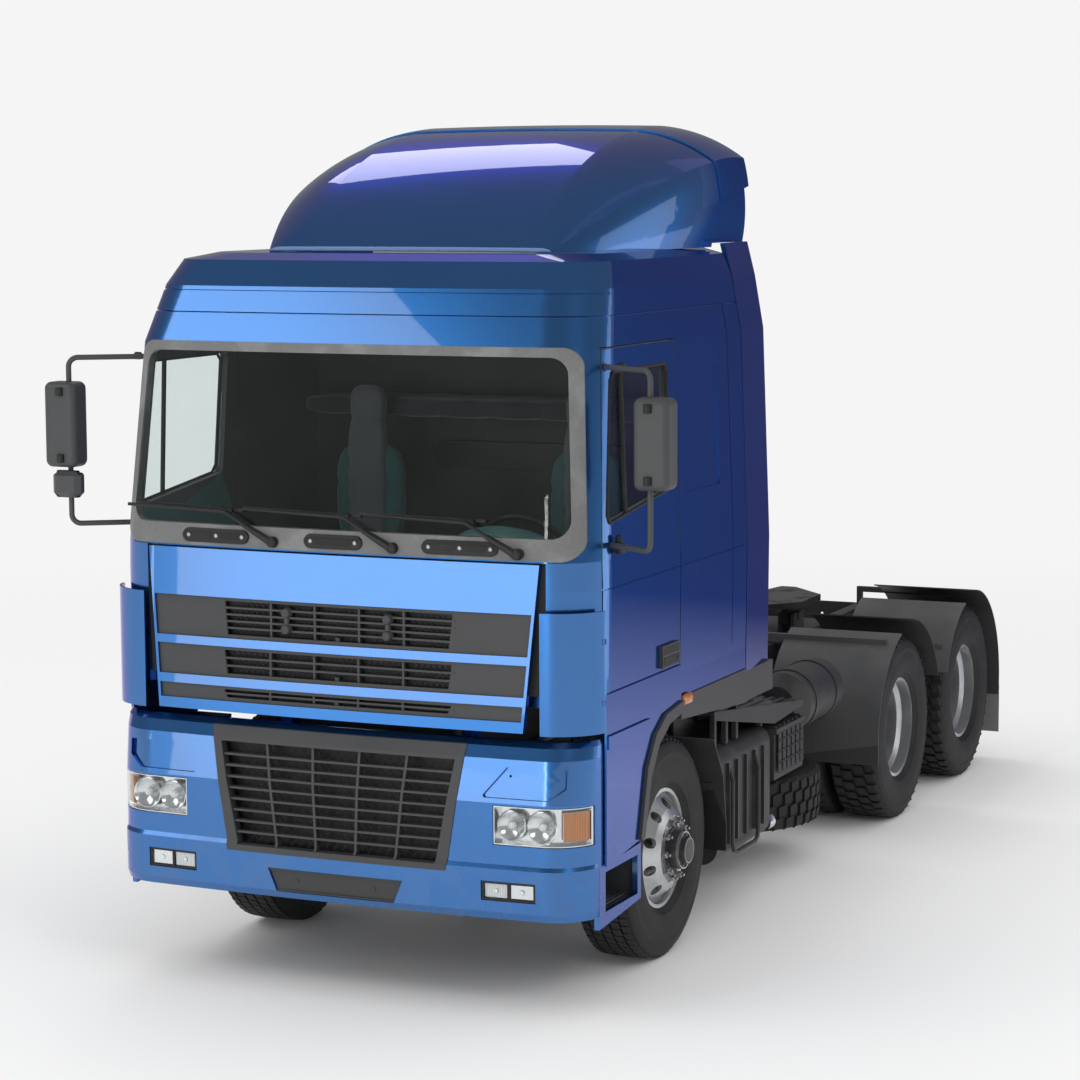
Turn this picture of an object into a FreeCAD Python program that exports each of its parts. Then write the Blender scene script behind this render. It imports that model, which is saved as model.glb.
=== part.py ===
import FreeCAD, Part
import math
import os
import Sketcher
from FreeCAD import Placement, Rotation, Vector

# A three-axle tractor unit. X points to the truck's left, Y to its rear and Z up.
# The origin lies on the ground below the middle of the truck.
# Heights are above the ground. "Stations" are distances behind the front of the bumper.

SIZES = {
    # Whole truck and shared clearances
    "overall_length": 7000, "panel_gap": 8, "seat_gap": 0.3, "pin_gap": 0.3, "overrun": 60,
    # Axles and wheels
    "front_axle_station": 1360, "drive_axle_station": 4920, "bogie_spread": 1370,
    "front_track": 1960, "twin_track": 1823, "twin_spacing": 345, "kingpin_track": 1760,
    "tyre_radius": 542, "tyre_width": 312, "tread_width": 240, "shoulder_width": 272,
    "shoulder_drop": 14, "bulge_radius": 410, "side_width": 300, "side_low_radius": 350,
    "side_high_radius": 490, "rim_width": 228, "flange_radius": 305, "flange_wall": 12,
    "bead_radius": 286, "well_radius": 256, "well_width": 64, "well_slope": 22, "rim_wall": 9,
    "disc_wall": 12, "disc_rim_inset": 46, "disc_knee_radius": 205, "disc_knee_drop": 20,
    "hub_face_radius": 165, "hand_hole_radius": 26, "hand_hole_circle": 222, "hand_holes": 10,
    "drum_radius": 203, "drum_wall": 14, "drum_width": 150, "twin_drum_width": 240,
    "front_hub_radius": 88, "front_hub_reach": 62, "front_cap_radius": 62, "front_cap_reach": 24,
    "hub_barrel_radius": 92, "hub_barrel_depth": 120, "spindle_radius": 42,
    "twin_hub_radius": 132, "twin_hub_reach": 150, "twin_cap_radius": 96, "twin_cap_reach": 26,
    # Kingpins and knuckles
    "kingpin_radius": 22, "eye_radius": 52, "eye_height": 150, "fork_wall": 34,
    "fork_half_depth": 52, "knuckle_plate": 34, "knuckle_reach": 66,
    # Front axle and springs
    "beam_depth": 110, "beam_height": 100, "beam_drop": 120, "beam_flat": 970, "beam_rise": 250,
    "spring_inner": 405, "spring_width": 70, "spring_leaf": 46, "spring_front_station": 660,
    "spring_rear_station": 2080, "spring_eye_height": 640, "hanger_width": 90,
    # Rails
    "rail_spread": 800, "rail_bottom": 720, "rail_height": 270, "rail_flange": 80, "rail_wall": 8,
    "rail_front_station": 600, "rail_rear_station": 6850, "member_depth": 90,
    "member_height": 190, "member_station": 2760, "tank_member_station": 3960,
    "bogie_member_station": 5605, "tow_spacing_x": 160, "tow_spacing_z": 100,
    "tow_hole_radius": 10.5,
    # Drive axles and their air springs
    "axle_tube_radius": 72, "banjo_radius": 215, "banjo_width": 250, "pinion_radius": 85,
    "pinion_reach": 330, "shaft_radius": 48, "shaft_height": 640, "arm_width": 84,
    "arm_height": 60, "arm_reach": 430, "arm_centre": 395, "arm_top": 470,
    "hanger_reach": 500, "bellows_radius": 118, "bellows_ring": 105, "bellows_station": 330,
    # Engine, gearbox and radiator
    "engine_width": 590, "engine_front_station": 800, "engine_rear_station": 1760,
    "engine_bottom": 600, "engine_top": 1360, "gearbox_width": 400,
    "gearbox_rear_station": 2560, "gearbox_bottom": 580, "gearbox_top": 930,
    "radiator_width": 790, "radiator_station": 430, "radiator_depth": 130,
    "radiator_bottom": 560, "radiator_top": 1350, "shroud_width": 560, "shroud_drop": 120,
    "foot_width": 100, "foot_height": 80, "foot_bottom": 810,
    # Cab: stations and half widths of its plan at each height
    "floor_height": 1430, "belt_height": 1960, "sill_height": 2090, "head_height": 3030,
    "eave_height": 3300, "brow_height": 3420, "crown_height": 3450,
    "floor_half": 1237, "belt_half": 1243, "sill_half": 1240, "head_half": 1205,
    "eave_half": 1158, "brow_half": 1115, "crown_half": 1000,
    "sill_front": 75, "head_front": 190, "eave_front": 320, "brow_front": 420,
    "crown_front": 560, "cab_rear": 2150, "corner_run": 260, "front_bow": 30,
    "cab_wall": 45, "floor_wall": 50, "roof_split_height": 3178,
    "firewall_front": 135, "firewall_half": 1030,
    "skirt_bottom": 1320, "skirt_wall": 30, "trim_bottom_front": 1195, "trim_bottom_rear": 1145,
    "trim_wall": 44, "trim_proud": 8,
    "panel_front": 1310, "panel_rear": 1790, "panel_bottom": 2300, "panel_top": 2910,
    "panel_depth": 6, "seam_station": 1945, "seam_width": 7, "seam_depth": 5,
    "swage_low": 1955, "swage_width": 9, "visor_groove": 3273, "visor_groove_rear": 700,
    # Tilt pivot and cab mounts
    "pivot_station": 350, "pivot_height": 1000, "pivot_radius": 18, "lug_wall": 30,
    "lug_front": 300, "lug_top": 1042, "lug_rear": 950, "arm_gap": 24, "tilt_arm_width": 50,
    "tilt_arm_depth": 70, "tilt_arm_foot": 640, "front_beam_front": 200,
    "front_beam_bottom": 560, "front_beam_height": 120, "front_beam_half": 950,
    "rest_station": 1900, "rest_depth": 90, "rest_post": 70, "rest_bar": 70,
    # Doors
    "door_front": 290, "door_pillar_top": 385, "door_rear": 1225, "door_bottom": 1440,
    "door_top": 3035, "door_bend_height": 2080, "wing_bottom_front": 690,
    "wing_bottom_rear": 738, "wing_rear": 722, "wing_wall": 10, "wing_offset": 1237.6,
    "wing_overlap": 40, "arch_low_height": 1010, "arch_low_station": 800,
    "arch_mid_height": 1150, "arch_mid_station": 905, "arch_top_height": 1225,
    "arch_top_station": 1040, "arch_end_height": 1255, "arch_band": 52, "arch_proud": 16,
    "hinge_offset": 1248, "rail_bar_front": 305, "rail_bar_rear": 800, "rail_bar_bottom": 1228,
    "rail_bar_height": 62, "rail_bar_wall": 12,
    "glass_front": 335, "glass_front_top": 432, "glass_rear": 1100, "glass_rear_top": 1135,
    "glass_front_low": 2244, "glass_rear_low": 2333, "glass_high": 2935,
    "door_glass_wall": 6, "door_glass_inset": 16, "divider_station": 560, "divider_width": 26,
    "handle_front": 960, "handle_rear": 1180, "handle_bottom": 1500, "handle_height": 104,
    "handle_wall": 14,
    # Mirrors
    "mirror_tube": 13, "mirror_root_station": 410, "mirror_elbow_station": 190,
    "mirror_elbow_half": 1500, "mirror_top": 2955, "mirror_low": 2155, "mirror_root_half": 1180,
    "mirror_head_inner": 1437, "mirror_head_outer": 1610, "mirror_head_front": 125,
    "mirror_head_rear": 262, "mirror_head_bottom": 2430, "mirror_head_top": 2840,
    "mirror_round": 34, "mirror_bend": 45,
    # Windscreen and cowl
    "frame_bottom": 2097, "frame_top": 3046, "frame_low_half": 1190, "frame_top_half": 1136,
    "frame_round": 90, "pane_bottom": 2196, "pane_top": 3002, "pane_low_half": 1134,
    "pane_top_half": 1082, "frame_proud": 7, "frame_depth": 36, "pane_inset": 8,
    "pane_wall": 7, "screen_reach": 560,
    "wiper_arm": 8, "wiper_blade": 9, "wiper_lift": 34, "wiper_pivot_radius": 22,
    "wiper_pivot_height": 2130, "wiper_knee_height": 2262, "wiper_tip_height": 2275,
    "wiper_knee_reach": 250, "wiper_tip_reach": 790, "wiper_pitch": 620,
    "wiper_first_place": -333,
    # Front lid and its grille
    "lid_bottom": 1325, "lid_top": 2084, "lid_low_half": 943, "lid_top_half": 1008,
    "lid_low_front": 16, "lid_top_front": 55, "lid_wall": 34, "band_1_low": 1375,
    "band_1_top": 1444, "band_2_low": 1487, "band_2_top": 1630, "band_3_low": 1670,
    "band_3_top": 1860, "band_edge": 14, "lid_grille_inset": 12, "lid_grille_wall": 16,
    "slot_half": 573, "slot_edge": 16, "lid_slat": 9, "lid_slat_depth": 30, "lid_bar": 10,
    "lid_hinge_station": 70, "lid_hinge_height": 2067, "lid_hinge_place": 300, "lid_hinge_width": 20,
    "lid_pin_radius": 5, "lid_slot_room": 8,
    # Corner vanes
    "vane_bottom": 1317, "vane_top": 1872, "vane_half": 1270, "vane_front": 22, "vane_wall": 14,
    "vane_inner": 1022, "vane_rear": 252, "vane_rib": 24, "vane_low_rib": 1440,
    "vane_high_rib": 1720, "vane_round": 60,
    # Bumper
    "bumper_half": 1232, "bumper_bottom": 465, "bumper_lip": 500, "bumper_seam": 700,
    "bumper_step": 718, "bumper_mid": 1000, "bumper_brow": 1200, "bumper_shoulder": 1255,
    "bumper_top": 1280, "bumper_lip_front": 22, "bumper_chin_front": 4, "bumper_step_front": 14,
    "bumper_brow_front": 34, "bumper_shoulder_front": 52, "bumper_top_front": 85,
    "bumper_wall": 28, "bumper_run": 230, "bumper_rear": 350,
    "scoop_inner": 735, "scoop_bend": 860, "scoop_turn": 1060, "scoop_outer": 1135,
    "scoop_bottom": 1022, "scoop_outer_low": 1075, "scoop_outer_top": 1150, "scoop_top": 1165,
    "scoop_depth": 16, "scoop_round": 10, "tow_eye_place": 873, "tow_eye_height": 1123,
    "tow_eye_radius": 6,
    "side_wing_half": 1232, "side_wing_wall": 26, "side_wing_front": 240,
    "side_wing_rear": 742, "side_wing_bottom": 405, "side_wing_top": 690,
    "side_wing_rise": 40, "step_hole_front": 312, "step_hole_rear": 700,
    "step_hole_bottom": 475, "step_hole_top": 660,
    "grille_top": 1258, "grille_bottom": 673, "grille_top_half": 660, "grille_low_half": 567,
    "opening_top": 1185, "opening_bottom": 702, "opening_top_half": 608,
    "opening_low_half": 514, "grille_proud": 5, "grille_depth": 46, "grille_slat": 10,
    "grille_slat_depth": 34, "grille_slat_pitch": 52, "grille_bar": 12, "grille_slats": 8,
    "lamp_inner": 797, "lamp_bottom": 808, "lamp_top": 990, "lamp_rear": 212, "lamp_depth": 60,
    "fog_inner": 742, "fog_outer": 1006, "fog_bottom": 552, "fog_top": 642, "fog_inset": 5,
    "plate_top": 606, "plate_bottom": 497, "plate_top_half": 350, "plate_low_half": 305,
    "plate_depth": 14, "lamp_gap": 0.3,
    # Entry steps and front mudguards
    "step_inner": 950, "step_front": 306, "step_rear": 735, "step_low": 440, "step_mid": 820,
    "step_high": 1150, "step_wall": 8, "step_tread": 22, "stay_height": 90,
    "guard_radius": 640, "guard_wall": 8, "guard_inner": 640, "guard_outer": 1190,
    "guard_flap_bottom": 400, "guard_top_station": 1700,
    # Left side: silencer, battery box, air tank and spare wheel
    "silencer_front": 2060, "silencer_rear": 2860, "silencer_inner": 520,
    "silencer_outer": 1120, "silencer_bottom": 300, "silencer_top": 900, "silencer_round": 90,
    "guard_bar": 16, "guard_bars": 5, "tailpipe_radius": 38, "tailpipe_height": 345,
    "tailpipe_reach": 150, "tailpipe_place": 1060,
    "battery_front": 2900, "battery_rear": 3370, "battery_inner": 430, "battery_outer": 1130,
    "battery_bottom": 590, "battery_top": 880, "battery_rib": 14, "battery_ribs": 7,
    "battery_lid": 40,
    "air_tank_front": 3420, "air_tank_rear": 4180, "air_tank_radius": 170,
    "air_tank_place": 960, "air_tank_height": 900, "air_tank_dome": 90, "tank_strap": 50,
    "tank_strap_wall": 6,
    "spare_station": 3530, "spare_place": 610, "spare_height": 385, "carrier_width": 60,
    "carrier_wall": 10,
    # Right side: fuel tank
    "fuel_front": 2150, "fuel_rear": 4150, "fuel_inner": 560, "fuel_outer": 1190,
    "fuel_bottom": 420, "fuel_top": 1060, "fuel_round": 110, "fuel_cap_radius": 52,
    "fuel_cap_height": 34, "fuel_strap_inset": 380,
    # Rear mudguards, flaps and lamps
    "mud_inner": 585, "mud_outer": 1270, "mud_wall": 8, "mud_front_radius": 606,
    "mud_rear_radius": 640, "mud_low": 420, "flap_wall": 6, "flap_bottom": 170, "flap_overlap": 60,
    "mud_stay": 34, "mud_stay_reach": 300, "mud_front_stay": 1109, "mud_tail_stay": 1134,
    "mud_mid_stay": 914, "mud_mid_rear": 520, "mud_mid_front": 513, "mud_stay_height": 935,
    "tail_lamp_inner": 720, "tail_lamp_width": 400, "tail_lamp_bottom": 760,
    "tail_lamp_height": 120, "tail_lamp_low_station": 6904.6, "tail_lamp_high_station": 6847.2,
    "tail_lamp_rear": 7004,
    # Fifth wheel
    "coupling_station": 5450, "coupling_top": 1200, "coupling_wall": 36,
    "coupling_half": 450, "coupling_front": 360, "coupling_rear": 520, "coupling_skirt": 60,
    "coupling_radius": 25.4, "coupling_slot_gap": 1, "coupling_throat": 190, "coupling_nose": 250,
    "coupling_pivot_height": 1095, "coupling_pin": 24, "coupling_side": 340,
    "coupling_web": 40, "saddle_front": 4960, "saddle_rear": 5960, "saddle_half": 440,
    "saddle_wall": 14, "saddle_post": 46, "saddle_depth": 190, "lock_depth": 70,
    # Roof deflector and side fairings
    "deflector_front": 830, "deflector_rise": 615, "deflector_rear": 2540,
    "deflector_wall": 22, "deflector_nose_half": 750, "deflector_lap": 14, "deflector_proud": 8,
    "deflector_seam": 2200, "deflector_split_front": 1090, "deflector_split_top": 3766,
    "fairing_front": 2158,
    "fairing_rear": 2600, "fairing_wall": 26, "fairing_bottom": 1300, "fairing_taper": 40,
    "fairing_flange": 60, "lower_fairing_top": 3470,
    # Interior
    "dash_front": 190, "dash_rear": 640, "dash_bottom": 1500, "dash_top": 2120,
    "dash_half": 1150, "dash_lip": 150, "wheel_place": 620, "wheel_station": 830,
    "wheel_height": 2030, "wheel_radius": 225, "wheel_rim": 16, "column_radius": 35,
    "seat_place": 600, "seat_station": 1150, "seat_width": 500, "seat_depth": 500,
    "seat_top": 1930, "seat_cushion": 150, "seat_back_height": 640, "seat_back_wall": 130,
    "seat_base_width": 340, "head_width": 250, "head_height_size": 190, "seat_clear": 6,
    "bunk_front": 1480, "bunk_rear": 2085, "bunk_half": 1080, "bunk_top": 1860,
    "bunk_wall": 160, "bunk_base": 1480, "upper_bunk_low": 2580, "upper_bunk_wall": 110,
    "upper_bunk_front": 1690, "bunk_clear": 8,
}

ROUND_SHARE = 0.7071      # a quarter arc passes through this share of its run
RIGHT_ANGLE = 90
HALF_TURN = 180
FULL_TURN = 360
LEVEL = 0                 # where each mudguard sheet starts and ends round its axle
FRONT_END = 74
REAR_START = 98
BETWEEN_END = 160

doc = FreeCAD.newDocument("tractor_unit")
sheet = doc.addObject("Spreadsheet::Sheet", "sizes")
for row, (alias, value) in enumerate(SIZES.items(), start=1):
    sheet.set(f"A{row}", alias)
    sheet.set(f"B{row}", str(value))
    sheet.setAlias(f"B{row}", alias)
doc.recompute()


class Size:
    """A length that carries the sheet formula it came from, so that features can be bound to it."""

    def __init__(self, value, formula):
        self.value, self.formula = float(value), formula

    def __float__(self):
        return self.value

    def joined(self, sign, other, swapped=False):
        other = other if isinstance(other, Size) else Size(other, repr(float(other)))
        left, right = (other, self) if swapped else (self, other)
        value = {"+": left.value + right.value, "-": left.value - right.value,
                 "*": left.value * right.value,
                 "/": left.value / right.value if right.value else 0}[sign]
        return Size(value, f"({left.formula} {sign} {right.formula})")

    def __add__(self, other):
        return self.joined("+", other)

    def __radd__(self, other):
        return self.joined("+", other, True)

    def __sub__(self, other):
        return self.joined("-", other)

    def __rsub__(self, other):
        return self.joined("-", other, True)

    def __mul__(self, other):
        return self.joined("*", other)

    def __rmul__(self, other):
        return self.joined("*", other, True)

    def __truediv__(self, other):
        return self.joined("/", other)

    def __neg__(self):
        return 0 - self


class SizeSheet:
    def __getattr__(self, alias):
        return Size(sheet.get(alias), f"sizes.{alias}")


s = SizeSheet()
nose = -s.overall_length / 2


def bind(feature, prop, value):
    """Give a feature's property a value that follows the sheet."""
    formula = value.formula if isinstance(value, Size) else repr(float(value))
    feature.setExpression(prop, formula)


def bind_place(feature, x, y, z, prefix="Placement"):
    for axis, value in zip("xyz", (x, y, z)):
        bind(feature, f"{prefix}.Base.{axis}", value)


# %% Ways of making pieces

def block(name, x, y, z):
    """A box between the (low, high) pairs given along each axis."""
    box = doc.addObject("Part::Box", name)
    for prop, (low, high) in zip(("Length", "Width", "Height"), (x, y, z)):
        bind(box, prop, high - low)
    bind_place(box, x[0], y[0], z[0])
    return box


def rod(name, axis, start, length, radius):
    """A cylinder from start along an axis."""
    cylinder = doc.addObject("Part::Cylinder", name)
    bind(cylinder, "Radius", radius)
    bind(cylinder, "Height", length)
    turn = {"X": Rotation(Vector(0, 1, 0), RIGHT_ANGLE), "Y": Rotation(Vector(1, 0, 0), -RIGHT_ANGLE),
            "Z": Rotation()}[axis]
    cylinder.Placement = Placement(Vector(), turn)
    bind_place(cylinder, *start)
    return cylinder


def outline_sketch(body, name, plane, outlines):
    """A sketch of closed polygons whose corners follow the sheet."""
    sketch = body.newObject("Sketcher::SketchObject", name)
    support = [part for part in body.Origin.OriginFeatures if part.Role == plane][0]
    sketch.AttachmentSupport = [(support, "")]
    sketch.MapMode = "FlatFace"
    first = 0
    for outline in outlines:
        count = len(outline)
        for i in range(count):
            start, end = outline[i], outline[(i + 1) % count]
            sketch.addGeometry(Part.LineSegment(Vector(*start, 0), Vector(*end, 0)))
        for i in range(count):
            after = first + (i + 1) % count
            sketch.addConstraint(Sketcher.Constraint("Coincident", first + i, 2, after, 1))
        for i, corner in enumerate(outline):
            for kind, value in zip(("DistanceX", "DistanceY"), corner):
                rule = Sketcher.Constraint(kind, -1, 1, first + i, 1, float(value))
                index = sketch.addConstraint(rule)
                bind(sketch, f"Constraints[{index}]", value)
        first += count
    return sketch


def prism(name, plane, outlines, low, high):
    """An outline on a plane, padded from low to high along the plane's axis.

    XY outlines are (x, y), XZ outlines are (x, z) and YZ outlines are (y, z).
    """
    body = doc.addObject("PartDesign::Body", name)
    outlines = outlines if isinstance(outlines[0][0], (tuple, list)) else [outlines]
    sketch = outline_sketch(body, name + "_outline", plane + "_Plane", outlines)
    offset = -high if plane == "XZ" else low
    bind(sketch, ".AttachmentOffset.Base.z", offset)
    pad = body.newObject("PartDesign::Pad", name + "_pad")
    pad.Profile = sketch
    bind(pad, "Length", high - low)
    return body


def turned(name, outlines):
    """A profile of (x, radius) corners turned about the X axis."""
    body = doc.addObject("PartDesign::Body", name)
    sketch = outline_sketch(body, name + "_profile", "XZ_Plane", [outlines])
    turn = body.newObject("PartDesign::Revolution", name + "_turn")
    turn.Profile = sketch
    turn.ReferenceAxis = (sketch, ["H_Axis"])
    turn.Angle = FULL_TURN
    return body


def cut(name, base, *tools):
    result = base
    for i, tool in enumerate(tools):
        step = doc.addObject("Part::Cut", name if i == len(tools) - 1 else f"{name}_cut_{i}")
        step.Base, step.Tool = result, tool
        result = step
    return result


def join(name, *parts):
    result = doc.addObject("Part::MultiFuse", name)
    result.Shapes = list(parts)
    return result


def group(name, *parts):
    """Like pieces of one node that don't touch."""
    result = doc.addObject("Part::Compound", name)
    result.Links = list(parts)
    return result


def mirrored(name, source):
    """The same piece on the truck's other side."""
    result = doc.addObject("Part::Mirroring", name)
    result.Source = source
    result.Normal = Vector(1, 0, 0)
    return result


def both_sides(name, left):
    return group(name, left, mirrored(left.Name + "_other", left))


def placed(name, form, x, y, z, turn=Rotation()):
    """A copy of a form at a place."""
    result = doc.addObject("Part::Compound", name)
    result.Links = [form]
    result.Placement = Placement(Vector(), turn)
    bind_place(result, x, y, z)
    return result


def shaped(name, shape):
    """A piece whose curved walls are made directly from the sheet's sizes."""
    feature = doc.addObject("Part::Feature", name)
    feature.Shape = shape
    feature.Placement = Placement()
    return feature


# %% Ways of making curved panels

def plan_points(row, inset, rear, run):
    """The corner points of a cab plan at one height, pushed inwards by inset.

    The front is bowed, the two corners are round and the sides are straight.
    """
    height, half, front = row
    shoulder = half - run
    y_bow = nose + front + s.front_bow + inset
    y_side = nose + front + s.front_bow + run
    round_run = run - inset
    x_mid = shoulder + round_run * ROUND_SHARE
    y_mid = y_side - round_run * ROUND_SHARE

    def at(x, y):
        return Vector(x, y, height)

    return [at(half - inset, nose + rear), at(half - inset, y_side), at(x_mid, y_mid), at(shoulder, y_bow),
            at(0, nose + front + inset), at(-shoulder, y_bow), at(-x_mid, y_mid), at(-half + inset, y_side),
            at(-half + inset, nose + rear)]


def plan_edges(points):
    a, b, c, d, e, f, g, h, i = points
    return [Part.makeLine(a, b), Part.Arc(b, c, d).toShape(), Part.Arc(d, e, f).toShape(),
            Part.Arc(f, g, h).toShape(), Part.makeLine(h, i)]


def rows_between(rows, low, high):
    """The (height, half width, front) rows from low to high, with rows worked out for the ends."""
    def row_at(height):
        pairs = list(zip(rows, rows[1:]))
        lower, upper = [(a, b) for a, b in pairs if float(a[0]) <= float(height)][-1:][0] if float(
            height) > float(rows[0][0]) else pairs[0]
        share = (height - lower[0]) / (upper[0] - lower[0])
        return (height, lower[1] + (upper[1] - lower[1]) * share, lower[2] + (upper[2] - lower[2]) * share)

    inner = [row for row in rows if float(low) < float(row[0]) < float(high)]
    return [row_at(low)] + inner + [row_at(high)]


def band(rows, outer, inner, rear, run=None):
    """A wall that runs round the front and both sides, between two insets, through all the rows."""
    run = s.corner_run if run is None else run
    wires = []
    for row in rows:
        outside = plan_points(row, outer, rear, run)
        inside = plan_points(row, inner, rear, run)
        edges = (plan_edges(outside) + [Part.makeLine(outside[-1], inside[-1])]
                 + plan_edges(inside[::-1]) + [Part.makeLine(inside[0], outside[0])])
        wires.append(Part.Wire(edges))
    solid = Part.makeLoft(wires, True, True)
    if solid.Volume < 0:
        solid.reverse()
    return solid


def plate(rows, inset, rear, run=None):
    """A closed block with the cab's plan through the rows."""
    run = s.corner_run if run is None else run
    wires = []
    for row in rows:
        points = plan_points(row, inset, rear, run)
        wires.append(Part.Wire(plan_edges(points) + [Part.makeLine(points[-1], points[0])]))
    solid = Part.makeLoft(wires, True, True)
    if solid.Volume < 0:
        solid.reverse()
    return solid


def face_of(points, round_radius=0):
    """A flat face through 3-D corners, each rounded by the same radius."""
    count = len(points)
    if not float(round_radius):
        return Part.Face(Part.makePolygon(points + [points[0]]))
    edges, ends = [], []
    for i in range(count):
        before, corner, after = points[i - 1], points[i], points[(i + 1) % count]
        back = (before - corner).normalize()
        ahead = (after - corner).normalize()
        half_angle = back.getAngle(ahead) / 2
        setback = float(round_radius) / math.tan(half_angle)
        start = corner + back * setback
        end = corner + ahead * setback
        bisector = (back + ahead).normalize()
        reach = float(round_radius) / math.sin(half_angle) - float(round_radius)
        ends.append((start, corner + bisector * reach, end))
    for i in range(count):
        start, middle, end = ends[i]
        edges.append(Part.Arc(start, middle, end).toShape())
        edges.append(Part.makeLine(end, ends[(i + 1) % count][0]))
    return Part.Face(Part.Wire(edges))


def side_prism(outline, low, high, round_radius=0):
    """A (station, height) outline pushed along X from low to high."""
    points = [Vector(low, nose + station, height) for station, height in outline]
    return face_of(points, round_radius).extrude(Vector(high - low, 0, 0))


def front_prism(outline, low, high, round_radius=0):
    """An (x, height) outline pushed along Y between two stations."""
    points = [Vector(x, nose + low, height) for x, height in outline]
    return face_of(points, round_radius).extrude(Vector(0, high - low, 0))


def slab(x, y, z):
    """A plain box between pairs, with stations along Y, for trimming panels."""
    return Part.makeBox(x[1] - x[0], y[1] - y[0], z[1] - z[0], Vector(x[0], nose + y[0], z[0]))


def even(low_half, top_half, bottom, top):
    """A tapered outline that is the same on both sides of the middle."""
    return [(-low_half, bottom), (low_half, bottom), (top_half, top), (-top_half, top)]


def other_side(shape):
    return shape.mirror(Vector(), Vector(1, 0, 0))


def pipe(points, radius, bend):
    """A round tube along straight runs joined by tangent arcs."""
    edges, last = [], points[0]
    for before, corner, after in zip(points, points[1:], points[2:]):
        back = (before - corner).normalize()
        ahead = (after - corner).normalize()
        half_angle = back.getAngle(ahead) / 2
        setback = float(bend) / math.tan(half_angle)
        start, end = corner + back * setback, corner + ahead * setback
        middle = corner + (back + ahead).normalize() * (float(bend) / math.sin(half_angle) - float(bend))
        edges += [Part.makeLine(last, start), Part.Arc(start, middle, end).toShape()]
        last = end
    edges.append(Part.makeLine(last, points[-1]))
    path = Part.Wire(edges)
    circle = Part.makeCircle(radius, points[0], points[1] - points[0])
    return path.makePipeShell([Part.Wire(circle)], True, False)


# %% Wheels: one tyre form and one wheel form, copied to every axle

half_rim = s.rim_width / 2
half_well = s.well_width / 2
flange_inside = half_rim - s.flange_wall
tyre_bead = flange_inside - s.seat_gap
tyre_seat = s.bead_radius + s.seat_gap
tyre_clear = s.flange_radius + s.seat_gap
tyre_half = [
    (tyre_bead, tyre_seat), (tyre_bead, tyre_clear), (half_rim + s.flange_wall, tyre_clear),
    (s.side_width / 2, s.side_low_radius), (s.tyre_width / 2, s.bulge_radius),
    (s.side_width / 2, s.side_high_radius), (s.shoulder_width / 2, s.tyre_radius - s.shoulder_drop),
    (s.tread_width / 2, s.tyre_radius)]
tyre_form = turned("tyre_form", tyre_half + [(-x, r) for x, r in reversed(tyre_half)])

slope_edge = half_well + s.well_slope
seat_top = s.bead_radius
inner_seat = seat_top - s.rim_wall
barrel_half = [(half_well, s.well_radius), (slope_edge, seat_top), (flange_inside, seat_top),
               (flange_inside, s.flange_radius), (half_rim, s.flange_radius)]
barrel_inside = [(half_rim, inner_seat), (slope_edge, inner_seat),
                 (half_well, s.well_radius - s.rim_wall)]
barrel_profile = ([(-x, r) for x, r in reversed(barrel_half)] + barrel_half + barrel_inside
                  + [(-x, r) for x, r in reversed(barrel_inside)])
barrel_form = turned("barrel_form", barrel_profile)

wheel_offset = s.twin_spacing / 2
disc_root = half_rim - s.disc_rim_inset
disc_knee = wheel_offset - s.disc_knee_drop
disc_edge = s.bead_radius - s.rim_wall / 2
disc_profile = [
    (disc_root, disc_edge), (disc_root + s.disc_wall, disc_edge),
    (disc_knee, s.disc_knee_radius), (wheel_offset, s.hub_face_radius), (wheel_offset, 0),
    (wheel_offset - s.disc_wall, 0), (wheel_offset - s.disc_wall, s.hub_face_radius - s.disc_wall),
    (disc_knee - s.disc_wall, s.disc_knee_radius - s.disc_wall)]
disc_plain = turned("disc_plain", disc_profile)
hand_hole = rod("hand_hole", "X", (0, 0, s.hand_hole_circle), wheel_offset, s.hand_hole_radius)
holes = []
for i in range(int(float(s.hand_holes))):
    hole = placed(f"hand_hole_{i}", hand_hole, 0, 0, 0)
    hole.Placement = Placement(Vector(), Rotation(Vector(1, 0, 0), FULL_TURN * i / float(s.hand_holes)))
    holes.append(hole)
disc_form = cut("disc_form", disc_plain, group("hand_hole_ring", *holes))
wheel_form = join("wheel_form", barrel_form, disc_form)

hub_barrel = rod("hub_barrel", "X", (wheel_offset - s.hub_barrel_depth, 0, 0),
                 s.hub_barrel_depth + s.front_hub_reach, s.hub_barrel_radius)
hub_cap = rod("hub_cap", "X", (wheel_offset + s.front_hub_reach, 0, 0),
              s.front_cap_reach, s.front_cap_radius)
drum_end = wheel_offset - s.hub_barrel_depth + s.drum_wall
drum_start = drum_end - s.drum_width
drum_outer = rod("drum_outer", "X", (drum_start, 0, 0), s.drum_width, s.drum_radius)
drum_hollow = rod("drum_hollow", "X", (drum_start - s.overrun, 0, 0),
                  s.drum_width + s.overrun - s.drum_wall, s.drum_radius - s.drum_wall)
spindle_length = s.spindle_radius * 2
spindle_bore = rod("spindle_bore", "X", (drum_start, 0, 0),
                   s.drum_width + spindle_length + s.pin_gap, s.spindle_radius + s.pin_gap)
front_wheel_form = cut("front_wheel_form", join("front_wheel_solid", wheel_form, cut(
    "drum_form", drum_outer, drum_hollow), hub_barrel, hub_cap), spindle_bore)

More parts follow.
